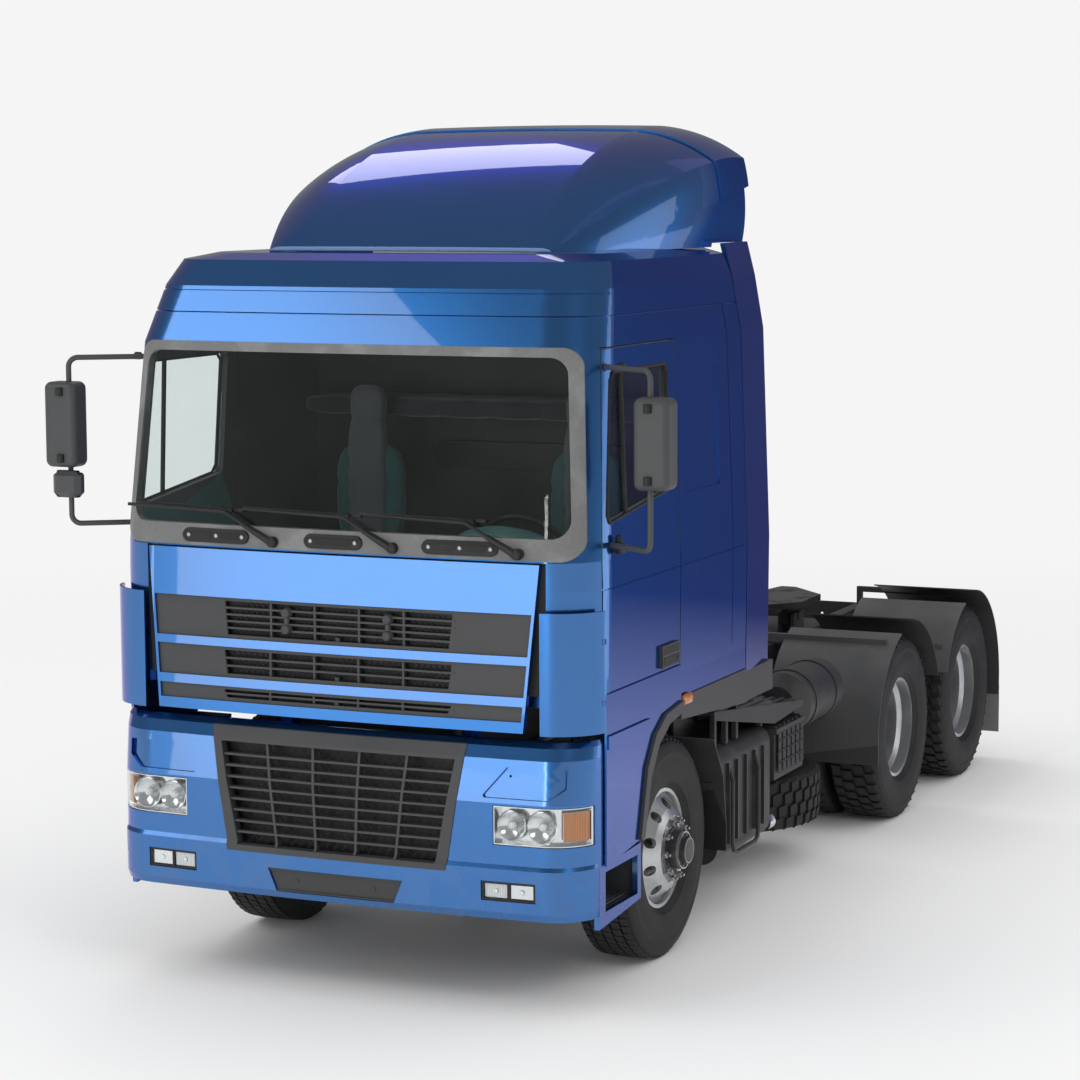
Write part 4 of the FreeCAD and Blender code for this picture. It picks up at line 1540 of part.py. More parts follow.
bunk_ys = (nose + s.bunk_front + s.seat_depth / 2, nose + s.bunk_rear)
lower_bunk = block("lower_bunk", (-s.bunk_half, s.bunk_half), bunk_ys, (seat_floor, s.bunk_top))
upper_bunk = block("upper_bunk", (-s.bunk_half, s.bunk_half), (nose + s.upper_bunk_front, nose + s.cab_rear
                                                              - s.cab_wall - s.seat_gap),
                   (s.upper_bunk_low, s.upper_bunk_low + s.upper_bunk_wall))
nodes.append(group("bunks", lower_bunk, upper_bunk))

# %% Check every object, then write one file for each node

doc.recompute()
failed = [o.Name for o in doc.Objects if {"Invalid", "Error"} & set(o.State)]
if failed:
    raise SystemExit(f"failed features: {failed}")
os.makedirs("parts", exist_ok=True)
for node in nodes:
    node.Label = node.Name
    shape = node.Shape
    if shape.isNull() or not shape.isValid() or not shape.Solids:
        raise SystemExit(f"bad shape: {node.Label}")
for node in nodes:
    shape = node.Shape
    box = shape.BoundBox
    print(f"{node.Label:22s} {len(shape.Solids):3d} solids {shape.Volume / 1e9:8.4f} m3  "
          f"x {box.XMin:7.0f} {box.XMax:7.0f}  y {box.YMin:7.0f} {box.YMax:7.0f}  z {box.ZMin:6.0f} {box.ZMax:6.0f}")
    shape.exportStep(f"parts/{node.Label}.step")
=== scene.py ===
# %% [markdown]
# A tractor unit arrives here as plain solids: rails, cab panels, wheels and tanks that already fit and
# move. This lesson dresses them. Blender could model the truck again from nothing, but then nothing would
# line up with the joints. So the solids are loaded as a frame, and each step adds a finish or a finer piece
# to it.

# %% Load the truck's frame
import bmesh
import bpy
import math
from mathutils import Matrix, Vector


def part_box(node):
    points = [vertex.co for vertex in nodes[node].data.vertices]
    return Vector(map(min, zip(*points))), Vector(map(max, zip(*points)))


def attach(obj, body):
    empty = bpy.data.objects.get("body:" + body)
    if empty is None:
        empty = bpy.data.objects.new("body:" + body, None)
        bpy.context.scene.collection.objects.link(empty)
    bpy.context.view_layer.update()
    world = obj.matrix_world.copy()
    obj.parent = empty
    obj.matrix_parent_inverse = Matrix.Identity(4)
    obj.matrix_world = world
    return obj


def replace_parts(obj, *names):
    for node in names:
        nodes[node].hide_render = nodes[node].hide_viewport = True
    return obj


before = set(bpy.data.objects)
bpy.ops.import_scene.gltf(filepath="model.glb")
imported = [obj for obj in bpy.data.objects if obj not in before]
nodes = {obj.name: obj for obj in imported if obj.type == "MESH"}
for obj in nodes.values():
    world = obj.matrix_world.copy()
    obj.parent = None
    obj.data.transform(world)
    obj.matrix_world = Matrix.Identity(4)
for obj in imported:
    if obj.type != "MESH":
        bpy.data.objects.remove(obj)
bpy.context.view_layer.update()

# %% [markdown]
# Truck builders measure along the vehicle from the front of the bumper, and call such a distance a station.
# The frame's own origin is under the middle of the truck, so one small function turns a station into the
# frame's Y. Nothing in this lesson is drawn at random, so each run gives the same truck.

# %% Stations along the truck
truck_length = 7.0


def at(station):
    """The Y of a distance behind the bumper's front."""
    return station - truck_length / 2


print("bumper's front at y", at(0))

# %% [markdown]
# A pressed panel, a hose and a lamp bowl all start as rings of points joined into a skin. Blender's own
# primitives would give each of them a plain look, so one small class gathers loose shapes into one mesh, as
# a workshop gathers plates and tubes into one welded piece. Its faces get their normals worked out at the
# end, and edges sharper than a given angle stay crisp.

# %% The workshop: loose shapes gathered into one piece
weld_distance = 0.00005
needle_radius = 0.0002


def ring(centre, radius, axis, steps):
    """Points on a circle about an axis, given as 0, 1 or 2 for X, Y or Z."""
    side, up = ((1, 2), (2, 0), (0, 1))[axis]
    points = []
    for i in range(steps):
        angle = 2 * math.pi * i / steps
        point = list(centre)
        point[side] += radius * math.cos(angle)
        point[up] += radius * math.sin(angle)
        points.append(Vector(point))
    return points


class Stock:
    """Points and faces that become one piece."""

    def __init__(self):
        self.points, self.faces = [], []

    def add(self, points, faces):
        first = len(self.points)
        self.points += [Vector(p) for p in points]
        self.faces += [[first + i for i in face] for face in faces]
        return self

    def loft(self, rings, caps=True):
        """A skin through rings of equally many points."""
        count = len(rings[0])
        points = [p for one in rings for p in one]
        faces = [[k * count + i, k * count + (i + 1) % count, (k + 1) * count + (i + 1) % count,
                  (k + 1) * count + i] for k in range(len(rings) - 1) for i in range(count)]
        if caps:
            faces += [list(range(count))[::-1], [(len(rings) - 1) * count + i for i in range(count)]]
        return self.add(points, faces)

    def turn(self, profile, centre, axis, steps, caps=True):
        """A profile of (along, radius) pairs turned about an axis through a centre."""
        rings = []
        for along, radius in profile:
            place = list(centre)
            place[axis] += along
            rings.append(ring(place, max(radius, needle_radius), axis, steps))
        return self.loft(rings, caps)

    def tube(self, path, radius, steps):
        """A round tube along a line of points."""
        path = [Vector(p) for p in path]
        angles = [2 * math.pi * k / steps for k in range(steps)]
        rings, side = [], None
        for i, point in enumerate(path):
            ahead = (path[min(i + 1, len(path) - 1)] - path[max(i - 1, 0)]).normalized()
            if side is None:
                side = ahead.orthogonal().normalized()
            side = (side - ahead * side.dot(ahead)).normalized()
            up = ahead.cross(side)
            rings.append([point + (side * math.cos(a) + up * math.sin(a)) * radius for a in angles])
        return self.loft(rings)

    def brick(self, low, high, edge):
        """A box with chamfered edges, as cast or moulded pieces have. A thin one gets a smaller chamfer."""
        low, high = Vector(low), Vector(high)
        most, end_share = 0.45, 0.9
        edge = min([edge] + [(b - a) * most for a, b in zip(low, high)])

        def outline(inset, z):
            x0, x1, y0, y1 = low.x + inset, high.x - inset, low.y + inset, high.y - inset
            return [(x0 + edge, y0, z), (x1 - edge, y0, z), (x1, y0 + edge, z), (x1, y1 - edge, z),
                    (x1 - edge, y1, z), (x0 + edge, y1, z), (x0, y1 - edge, z), (x0, y0 + edge, z)]
        rings = [outline(edge * end_share, low.z), outline(0, low.z + edge), outline(0, high.z - edge),
                 outline(edge * end_share, high.z)]
        return self.loft([[Vector(p) for p in one] for one in rings])

    def prism(self, outline, axis, low, high):
        """A flat outline pushed along an axis. Outlines are (y, z), (x, z) or (x, y) for axis 0, 1 or 2."""
        rings = []
        for depth in (low, high):
            one = []
            for a, b in outline:
                point = [a, b]
                point.insert(axis, depth)
                one.append(Vector(point))
            rings.append(one)
        return self.loft(rings)

    def join(self, other):
        """Another stock's shapes, taken over as they stand."""
        return self.add(other.points, other.faces)

    def copies(self, moves):
        """The same shapes again at each of the given matrices."""
        points, faces = self.points, self.faces
        self.points, self.faces = [], []
        for move in moves:
            self.add([move @ p for p in points], faces)
        return self

    def piece(self, name, body, slot, finish, crisp=32, weld=True):
        """The gathered shapes as one named piece that rides on a body."""
        mesh = bpy.data.meshes.new(name)
        mesh.from_pydata([tuple(p) for p in self.points], [], self.faces)
        work = bmesh.new()
        work.from_mesh(mesh)
        if weld:
            bmesh.ops.remove_doubles(work, verts=work.verts, dist=weld_distance)
        bmesh.ops.recalc_face_normals(work, faces=work.faces)
        work.to_mesh(mesh)
        work.free()
        mesh.shade_smooth()
        mesh.set_sharp_from_angle(angle=math.radians(crisp))
        made = bpy.data.objects.new(name, mesh)
        bpy.context.scene.collection.objects.link(made)
        made.data.materials.append(finish)
        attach(made, body)
        print(f"{name}: {len(mesh.polygons)} faces on {body}")
        return made


def shift(x, y, z):
    return Matrix.Translation((x, y, z))


def spin(angle, axis, centre=(0, 0, 0)):
    """A turn in radians about an axis letter through a point."""
    return shift(*centre) @ Matrix.Rotation(angle, 4, axis) @ shift(*[-c for c in centre])


sides = {"left": Matrix.Identity(4), "right": Matrix.Scale(-1, 4, (1, 0, 0))}
both = list(sides.values())
print("workshop ready")

# %% [markdown]
# The photograph was taken from ahead and a little above, with a long lens. The place, the turn and the lens
# below were fitted to wheel centres, cab corners and the bumper, so the camera is written as three axes and
# not aimed by eye. Blender looks down its own -Z axis, and a 36 mm wide sensor sets the lens.

# %% Camera
camera_place = (6.3511, at(-11.9605), 3.7926)
yaw, pitch, roll = (math.radians(a) for a in (23.899, 6.897, -0.259))
photo_pixels, focal_pixels, sensor_width = 1080, 2982.67, 36
forward = Vector((-math.sin(yaw) * math.cos(pitch), math.cos(yaw) * math.cos(pitch), -math.sin(pitch)))
right = forward.cross(Vector((0, 0, 1))).normalized()
upward = right.cross(forward)
level_right = right * math.cos(roll) + upward * math.sin(roll)
level_up = upward * math.cos(roll) - right * math.sin(roll)
camera_data = bpy.data.cameras.new("camera")
camera = bpy.data.objects.new("camera", camera_data)
camera.matrix_world = Matrix([(level_right[k], level_up[k], -forward[k], camera_place[k]) for k in range(3)]
                             + [(0, 0, 0, 1)])
camera_data.sensor_width = sensor_width
camera_data.lens = sensor_width * focal_pixels / photo_pixels
bpy.context.scene.collection.objects.link(camera)
bpy.context.scene.camera = camera
bpy.context.scene.view_settings.view_transform = "Standard"
print("lens", round(camera_data.lens, 2), "mm")

# %% [markdown]
# A material in Blender is a web of nodes, and so is the world round it. Written out link by link it is hard
# to read, so a thin class wraps one output of a node, and ordinary arithmetic on it adds the Math nodes.
# Every other node comes from one method of the web: its kind, its settings, and what goes into its sockets.

# %% Shader arithmetic
class Flow:
    """One output of a node, such as a number that varies over a surface."""

    def __init__(self, web, socket):
        self.web, self.socket = web, socket

    def math(self, operation, first, second):
        return self.web.node("ShaderNodeMath", {"operation": operation}, {0: first, 1: second})

    def __add__(self, other):
        return self.math("ADD", self, other)

    def __sub__(self, other):
        return self.math("SUBTRACT", self, other)

    def __rsub__(self, other):
        return self.math("SUBTRACT", other, self)

    def __mul__(self, other):
        return self.math("MULTIPLY", self, other)

    def __pow__(self, other):
        return self.math("POWER", self, other)

    __radd__, __rmul__ = __add__, __mul__


class Web:
    """The nodes of one material or world."""

    def __init__(self, owner):
        owner.use_nodes = True
        self.tree = owner.node_tree

    def node(self, kind, settings, sockets, output=0):
        """A node of any kind: its settings first, then the values or links of its sockets."""
        made = self.tree.nodes.new(kind)
        for setting, value in settings.items():
            setattr(made, setting, value)
        for socket, value in sockets.items():
            self.set(made.inputs[socket], value)
        return Flow(self, made.outputs[output])

    def set(self, socket, value):
        if isinstance(value, Flow):
            self.tree.links.new(value.socket, socket)
        else:
            socket.default_value = value

    def show(self, surface):
        """What the web gives in the end, in place of its first shader."""
        last = next(n for n in self.tree.nodes if n.type in ("OUTPUT_MATERIAL", "OUTPUT_WORLD"))
        self.tree.links.new(surface.socket, last.inputs["Surface"])


print("arithmetic on sockets ready")

# %% [markdown]
# Nearly every finish on a truck is one Principled shader with its own colour, roughness and small relief. A
# finish is a web built round that shader, with short names for the patterns that come back: a noise, a mix
# of two colours, a place's height, and a step between two values.

# %% One finish
class Finish(Web):
    """A material built round one Principled shader."""

    def __init__(self, name, **constants):
        self.material = bpy.data.materials.new(name)
        super().__init__(self.material)
        self.shader = self.tree.nodes["Principled BSDF"]
        self.place = self.node("ShaderNodeTexCoord", {}, {}, "Object")
        self.feed(**constants)

    def noise(self, scale, detail=3.0, rough=0.55, place=None):
        return self.node("ShaderNodeTexNoise", {}, {"Vector": place or self.place, "Scale": scale,
                                                    "Detail": detail, "Roughness": rough})

    def stretched(self, x, y, z):
        """The place on the object with each axis scaled, for grain that runs one way."""
        return self.node("ShaderNodeVectorMath", {"operation": "MULTIPLY"}, {0: self.place, 1: (x, y, z)})

    def mix(self, mask, first, second):
        """Two colours mixed by a mask."""
        first, second = [(*c, 1) if isinstance(c, tuple) else c for c in (first, second)]
        return self.node("ShaderNodeMix", {"data_type": "RGBA"}, {0: mask, 6: first, 7: second}, 2)

    def axis(self, name):
        """The X, Y or Z of the place on the object."""
        return self.node("ShaderNodeSeparateXYZ", {}, {0: self.place}, name)

    def between(self, value, low, high):
        """0 below low and 1 above high, with a straight run between."""
        return self.node("ShaderNodeMapRange", {}, {0: value, 1: low, 2: high})

    def bump(self, height, strength, distance):
        self.feed(Normal=self.node("ShaderNodeBump", {}, {"Strength": strength, "Distance": distance,
                                                          "Height": height}))

    def feed(self, **sockets):
        """Numbers, colours or flows for the shader's sockets."""
        for socket, value in sockets.items():
            self.set(self.shader.inputs[socket.replace("_", " ")], value)


print("a finish is ready to be mixed")

# %% [markdown]
# The cab's paint is a pearl metallic: flakes under a clear coat. Seen straight on it is a light cyan blue,
# and at a slant it turns towards violet. A metal's edge tint gives that turn with no trick of the camera. A
# fine noise stands for the flakes, a broader one for the slight unevenness of sprayed paint, and road dust
# gathers low on the panels.

# %% Pearl blue paint
def pearl_paint():
    paint = Finish("pearl_blue", Metallic=0.92, Coat_Weight=1.0, Coat_Roughness=0.02, Coat_IOR=1.55,
                   Specular_Tint=(0.08, 0.12, 0.66, 1))
    flakes = paint.noise(900, 1.0)
    cloud = paint.noise(1.3, 2.0)
    base = paint.mix(cloud, (0.018, 0.128, 0.390), (0.024, 0.150, 0.435))
    base = paint.mix(paint.between(flakes, 0.52, 0.75) * 0.3, base, (0.08, 0.34, 0.70))
    dust = (1 - paint.between(paint.axis("Z"), 0.45, 1.1)) * paint.between(paint.noise(7, 5.0), 0.45, 0.8)
    base = paint.mix(dust * 0.25, base, (0.16, 0.15, 0.14))
    paint.feed(Base_Color=base, Roughness=dust * 0.25 + flakes * 0.05 + 0.22)
    paint.bump(paint.noise(160, 2.0), 0.02, 0.0006)
    return paint.material


blue = pearl_paint()
print("finish:", blue.name)

# %% [markdown]
# Bumper grille, slats and mirror housings are dark moulded plastic with a leathery grain. The grain is a
# Voronoi pattern as bump, and a little dust lightens what faces up. The mudguards and the battery box use
# the same recipe, darker and rougher, so the recipe is one function with its colour and grain as values.

# %% Moulded plastics
def moulded(name, color, rough, grain_scale, dusty=0.15):
    plastic = Finish(name, Specular_IOR_Level=0.42)
    grain = plastic.node("ShaderNodeTexVoronoi", {"feature": "F1"},
                         {"Vector": plastic.place, "Scale": grain_scale})
    patches = plastic.noise(2.4, 4.0)
    normal = plastic.node("ShaderNodeNewGeometry", {}, {}, "Normal")
    facing_up = plastic.node("ShaderNodeSeparateXYZ", {}, {0: normal}, "Z")
    dust = plastic.between(facing_up, 0.1, 1.0) * plastic.between(patches, 0.35, 0.75) * dusty
    shade = tuple(c * 0.72 for c in color)
    pale = tuple(0.16 + c * 0.7 for c in color)
    plastic.feed(Base_Color=plastic.mix(dust, plastic.mix(patches, shade, color), pale),
                 Roughness=patches * 0.12 + dust * 0.3 + rough)
    plastic.bump(grain, 0.22, 0.0012)
    return plastic.material


trim_plastic = moulded("grained_trim", (0.052, 0.053, 0.056), 0.42, 420)
guard_plastic = moulded("mudguard_plastic", (0.040, 0.041, 0.043), 0.46, 300, 0.3)
visor_plastic = moulded("mirror_housing", (0.060, 0.062, 0.064), 0.38, 500, 0.1)
black_plastic = moulded("black_plastic", (0.012, 0.012, 0.013), 0.4, 500, 0.1)
pale_plastic = moulded("pale_guard_plastic", (0.20, 0.20, 0.205), 0.5, 300, 0.3)
print("plastics: 5")

# %% [markdown]
# Rubber comes as tyres, as wiper blades and window lips, and as the seal round the windscreen. Tyre rubber
# is nearly black, worn paler in patches and finely pitted. The seal is a lighter, weathered grey.

# %% Rubbers
def rubber(name, color, rough, pits=0.0):
    stuff = Finish(name, Specular_IOR_Level=0.35)
    fine = stuff.noise(70, 6.0, 0.7)
    worn = stuff.noise(5, 4.0)
    shade = tuple(c * 0.6 for c in color)
    dusty = tuple(c * 1.9 + 0.012 for c in color)
    base = stuff.mix(fine, shade, color)
    base = stuff.mix(stuff.between(worn, 0.5, 0.9) * 0.6, base, dusty)
    stuff.feed(Base_Color=base, Roughness=worn * 0.2 + rough)
    stuff.bump(fine + pits * stuff.noise(400, 2.0), 0.25, 0.0015)
    return stuff.material


tyre_rubber = rubber("tyre_rubber", (0.022, 0.022, 0.023), 0.55, 0.3)
seal_rubber = rubber("screen_seal", (0.185, 0.186, 0.188), 0.5)
hose_rubber = rubber("hose_rubber", (0.016, 0.016, 0.017), 0.42)
print("rubbers: 3")

# %% [markdown]
# The metals differ in how they are worked. Wheels are silver enamel with brake dust, the fuel tank is
# brushed aluminium, nuts are plated with zinc, lamp bowls are chrome, and the frame is black chassis paint
# with road grime. There are two recipes, one for a coated metal and one for a bare metal with scratches.

# %% Metals
def enamel(name, color, metallic, rough, grime_color, grime, scale=9.0):
    metal = Finish(name)
    spots = metal.noise(scale, 6.0, 0.65)
    fine = metal.noise(140, 3.0)
    mask = metal.between(spots, 0.48, 0.78) * grime
    base = metal.mix(mask, metal.mix(fine, tuple(c * 0.88 for c in color), color), grime_color)
    metal.feed(Base_Color=base, Roughness=mask * 0.5 + fine * 0.06 + rough,
               Metallic=metallic * (1 - mask))
    metal.bump(fine + spots, 0.08, 0.001)
    return metal.material


def brushed(name, color, rough, stretch):
    """Metal with fine scratches that run along one axis."""
    metal = Finish(name, Metallic=1.0)
    lines = metal.noise(60, 3.0, 0.6, metal.stretched(*stretch))
    cloud = metal.noise(3, 3.0)
    metal.feed(Base_Color=metal.mix(cloud, tuple(c * 0.78 for c in color), color),
               Roughness=lines * 0.2 + cloud * 0.08 + rough)
    metal.bump(lines, 0.05, 0.0008)
    return metal.material


wheel_silver = enamel("wheel_silver", (0.60, 0.61, 0.625), 0.9, 0.26, (0.09, 0.085, 0.08), 0.3)
chassis_black = enamel("chassis_paint", (0.030, 0.031, 0.033), 0.0, 0.42, (0.10, 0.095, 0.088), 0.4, 5.0)
cast_iron = enamel("cast_iron", (0.055, 0.054, 0.052), 0.55, 0.45, (0.10, 0.075, 0.055), 0.35, 16.0)
greased = enamel("greased_steel", (0.035, 0.034, 0.033), 0.7, 0.26, (0.012, 0.011, 0.010), 0.8, 6.0)
tank_alloy = brushed("brushed_tank", (0.62, 0.63, 0.65), 0.24, (30, 1, 30))
zinc = brushed("zinc_steel", (0.52, 0.52, 0.53), 0.28, (4, 4, 4))
chrome = brushed("lamp_chrome", (0.88, 0.89, 0.90), 0.05, (1, 1, 1))
hub_black = enamel("hub_paint", (0.045, 0.045, 0.048), 0.35, 0.33, (0.10, 0.095, 0.085), 0.35)
print("metals: 8")

# %% [markdown]
# Glass is thin here, so a full refracting body would only darken the cab. Each pane mixes a clear part with
# a mirror that grows stronger towards a glancing view, as on a windscreen. Blender's Fresnel node would
# turn a pane's back face into a full mirror, so Layer Weight is used instead. The tint goes on the clear
# part, and a thin smear of dust adds a little to the mirror.

# %% Glass and lenses
def pane(name, tint, film=0.02):
    """Thin tinted glass. The film of dust is the mirror's roughness."""
    glass = Finish(name, Roughness=film)
    clear = glass.node("ShaderNodeBsdfTransparent", {}, {0: (*tint, 1)})
    mirror = glass.node("ShaderNodeBsdfGlossy", {}, {"Color": (0.95, 0.97, 0.98, 1), "Roughness": film})
    facing = glass.node("ShaderNodeLayerWeight", {}, {"Blend": 0.5}, "Facing")
    smear = glass.between(glass.noise(3.0, 4.0), 0.3, 0.8) * 0.015
    share = facing ** 5 * 0.85 + smear + 0.025
    glass.show(glass.node("ShaderNodeMixShader", {}, {0: share, 1: clear, 2: mirror}))
    return glass.material


def lens(name, color):
    """Moulded lamp plastic with fine vertical ribs."""
    part = Finish(name, Roughness=0.08, Coat_Weight=0.6)
    ribs = part.node("ShaderNodeTexWave", {"bands_direction": "X"}, {"Vector": part.place, "Scale": 40.0})
    deep = tuple(c * 0.55 for c in color)
    part.feed(Base_Color=part.mix(ribs, deep, color))
    part.bump(ribs, 0.3, 0.001)
    return part.material


screen_glass = pane("cab_glass", (0.945, 0.972, 0.968))
lamp_cover = pane("lamp_cover", (0.97, 0.98, 0.98), 0.01)
amber = lens("amber_lens", (0.50, 0.145, 0.004))
red_lens = lens("red_lens", (0.42, 0.008, 0.012))
clear_lens = lens("ribbed_lens", (0.70, 0.72, 0.74))
print("glasses and lenses: 5")

# %% [markdown]
# Inside, the walls are lined with dark felt, the dashboard and door boards are a dull teal plastic, and the
# seats have a grey woven middle with teal bolsters. Felt has no weave, only a soft fuzz, so it is a fine
# noise with some sheen. The seat cloth crosses two wave patterns for its weave.

# %% Cab inside
def felt(name, color):
    cloth = Finish(name, Roughness=0.95, Sheen_Weight=0.25, Specular_IOR_Level=0.1)
    fuzz = cloth.noise(260, 4.0, 0.7)
    cloud = cloth.noise(3.5, 3.0)
    cloth.feed(Base_Color=cloth.mix(fuzz * 0.6 + cloud * 0.4, tuple(c * 0.6 for c in color), color))
    cloth.bump(fuzz, 0.4, 0.002)
    return cloth.material


def woven(name, color, scale=260.0):
    cloth = Finish(name, Roughness=0.85, Sheen_Weight=0.3, Specular_IOR_Level=0.15)
    warp = cloth.node("ShaderNodeTexWave", {"bands_direction": "X"}, {"Vector": cloth.place, "Scale": scale})
    weft = cloth.node("ShaderNodeTexWave", {"bands_direction": "Z"}, {"Vector": cloth.place, "Scale": scale})
    weave = warp * 0.5 + weft * 0.5
    worn = cloth.noise(6, 4.0)
    cloth.feed(Base_Color=cloth.mix(weave * 0.7 + worn * 0.3, tuple(c * 0.55 for c in color), color))
    cloth.bump(weave, 0.35, 0.0015)
    return cloth.material


wall_felt = felt("wall_felt", (0.075, 0.078, 0.078))
seat_grey = woven("seat_grey", (0.13, 0.135, 0.14))
seat_teal = woven("seat_teal", (0.035, 0.135, 0.130))
bunk_cloth = woven("bunk_cloth", (0.045, 0.048, 0.052), 180.0)
dash_teal = moulded("dash_teal", (0.080, 0.185, 0.180), 0.5, 600, 0.1)
print("cab finishes: 5")

# %% [markdown]
# The solids come in plain. Most of them already have the right form and only need their finish, which goes
# into the material slot that each object brings along.

# %% Finishes on the solids that stay
def dress(finish, *names):
    for name in names:
        nodes[name].material_slots[0].material = finish


dress(blue, "cab_shell", "cab_roof", "front_lid", "corner_vanes", "bumper", "side_fairings",
      "roof_deflector", "door_left", "door_right")
dress(trim_plastic, "bumper_grille", "lid_grille", "door_trim_left", "door_trim_right", "cab_side_trim",
      "entry_steps")
dress(visor_plastic, "mirror_left", "mirror_right")
dress(guard_plastic, "front_mudguards", "rear_mudguards", "battery_box")
dress(seal_rubber, "windscreen_frame")
dress(screen_glass, "windscreen", "door_glass_left", "door_glass_right")
# Painted shade: the silencer is galvanised, but it wears the black chassis paint for the shade it sits in
# below the stepped cover.
dress(chassis_black, "frame_rails", "cab_mounts", "front_axle", "suspension", "drive_axles",
      "knuckle_left", "knuckle_right", "spare_carrier", "fifth_wheel_mount", "air_tank", "silencer")
dress(cast_iron, "engine_block")
dress(greased, "fifth_wheel")
dress(tank_alloy, "fuel_tank")
dress(red_lens, "tail_lamps")
dress(dash_teal, "dashboard")
dress(bunk_cloth, "bunks")
wheels = [name for name in nodes if "_rim" in name]
dress(wheel_silver, *wheels)
print("dressed:", len(wheels), "wheels and the body")

# %% [markdown]
# A cab's wall is painted outside and lined inside, but here it is one solid. Its inner faces are told from
# its outer ones by how deep they lie behind the cab's plan, which is bowed in front, round at the corners
# and straight at the sides. That plan is given by rows of height, half width and front station. The same
# rows later tell where wipers and trim touch the skin.

# %% How deep a point lies inside the cab's skin
cab_rows = [(1.43, 1.237, 0.075), (1.96, 1.243, 0.075), (2.09, 1.240, 0.075), (3.03, 1.205, 0.190),
            (3.30, 1.158, 0.320), (3.42, 1.115, 0.420), (3.45, 1.000, 0.560)]
corner_run, front_bow = 0.26, 0.03


def row_at(rows, z):
    """The half width and front station at a height."""
    z = min(max(z, rows[0][0]), rows[-1][0])
    for low, high in zip(rows, rows[1:]):
        if z <= high[0]:
            share = (z - low[0]) / (high[0] - low[0])
            return tuple(a + (b - a) * share for a, b in zip(low[1:], high[1:]))


def skin_station(rows, x, z, inset, run=corner_run):
    """The station of a bowed front with round corners, pushed in by an inset."""
    half, front = row_at(rows, z)
    shoulder = half - run
    if abs(x) <= shoulder:
        return front + front_bow * (x / shoulder) ** 2 + inset
    reach = min(abs(x) - shoulder, run - inset)
    return front + front_bow + run - math.sqrt(max((run - inset) ** 2 - reach ** 2, 0))


def cab_depth(x, y, z):
    half, front = row_at(cab_rows, z)
    across, along = abs(x) - half + corner_run, at(front + front_bow + corner_run) - y
    if across > 0 and along > 0:
        return corner_run - math.hypot(across, along)
    return min(half - abs(x), y - at(front) - front_bow * min(abs(x) / (half - corner_run), 1) ** 2)


def finish_faces(name, finish, chosen):
    """Another finish on the faces that a test of their middle picks."""
    mesh = nodes[name].data
    mesh.materials.append(finish)
    number, count = len(mesh.materials) - 1, 0
    for face in mesh.polygons:
        if chosen(face.center):
            face.material_index, count = number, count + 1
    print(f"{name}: {count} faces in {finish.name}")


def line_inside(name, lining, low, high, depth=0.014, rear_wall=at(2.12)):
    """The lining on the faces of a wall that look into the cab."""
    finish_faces(name, lining, lambda c: low < c.z < high and cab_depth(*c) > depth and c.y < rear_wall)


door_board_top = 2.26
line_inside("cab_shell", wall_felt, 1.475, 3.30)
line_inside("cab_roof", wall_felt, 3.0, 3.425)
for side in sides:
    line_inside(f"door_{side}", wall_felt, door_board_top, 3.2)
    line_inside(f"door_{side}", dash_teal, 1.45, door_board_top)

# %% [markdown]
# A truck tyre's carcass is a turned form: bead, bulging wall with a couple of moulded rings, and a crown.
# Its tread is blocks, each a small section swept through a few degrees. The steering tyre carries five
# close rows for quiet running, and the driving tyres carry open, staggered lugs that reach over the
# shoulder for grip. A section is given by its places across the tyre and its radii.

# %% Sections of a tyre
tyre_side = [(0.104, 0.2868), (0.113, 0.2935), (0.1255, 0.3056), (0.1360, 0.3210), (0.1415, 0.3240),
             (0.1430, 0.3310), (0.1475, 0.3460), (0.1535, 0.3780), (0.1556, 0.4080), (0.1550, 0.4380),
             (0.1515, 0.4660), (0.1530, 0.4700), (0.1518, 0.4760), (0.1485, 0.4880), (0.1440, 0.5040),
             (0.1385, 0.5160), (0.1310, 0.5235), (0.1180, 0.5265)]
steer_rows = [([(x, 0.524), (x, 0.5415 - top), (x + w, 0.5415 - more), (x + w, 0.524)], phase)
              for x, w, top, more, phase in ((-0.121, 0.036, 0.004, 0.001, 0.0), (-0.076, 0.044, 0, 0, 0.5),
                                             (-0.022, 0.044, 0, 0, 0.0), (0.032, 0.044, 0, 0, 0.5),
                                             (0.085, 0.036, 0.001, 0.004, 0.0))]
lug_left = [(-0.074, 0.524), (-0.074, 0.5412), (-0.120, 0.5375), (-0.1405, 0.5150), (-0.1370, 0.5080)]
lug_right = [(-x, r) for x, r in reversed(lug_left)]
drive_rows = [(lug_left, 0.0), (lug_right, 0.5),
              ([(-0.064, 0.524), (-0.062, 0.5415), (-0.007, 0.5415), (-0.005, 0.524)], 0.35),
              ([(0.005, 0.524), (0.007, 0.5415), (0.062, 0.5415), (0.064, 0.524)], 0.85)]


def tyre(rows, pitches, share, slant):
    """A tyre about the X axis at the origin, with a number of blocks in each row and their share of it."""
    made = Stock()
    made.turn(tyre_side + [(-x, r) for x, r in reversed(tyre_side)], (0, 0, 0), 0, 72, caps=False)
    for section, phase in rows:
        for i in range(pitches):
            rings = []
            for step in (0.0, 0.5, 1.0):
                angle = 2 * math.pi * (i + phase + share * step) / pitches
                rings.append([Vector((x + slant * (step - 0.5), r * math.cos(angle), r * math.sin(angle)))
                              for x, r in section])
            made.loft(rings)
    return made


steer_pitches, drive_pitches = 66, 42


def steer_tyre():
    return tyre(steer_rows, steer_pitches, 0.84, 0.006)


def drive_tyre():
    return tyre(drive_rows, drive_pitches, 0.66, 0.014)


print("blocks on a driving tyre:", drive_pitches * len(drive_rows))

# %% [markdown]
# The front axle has one tyre a side and each driven axle has twins. The inner twin is turned a little
# against the outer one, as no fitter lines their lugs up. Blocks stand on the carcass without being welded
# to it.

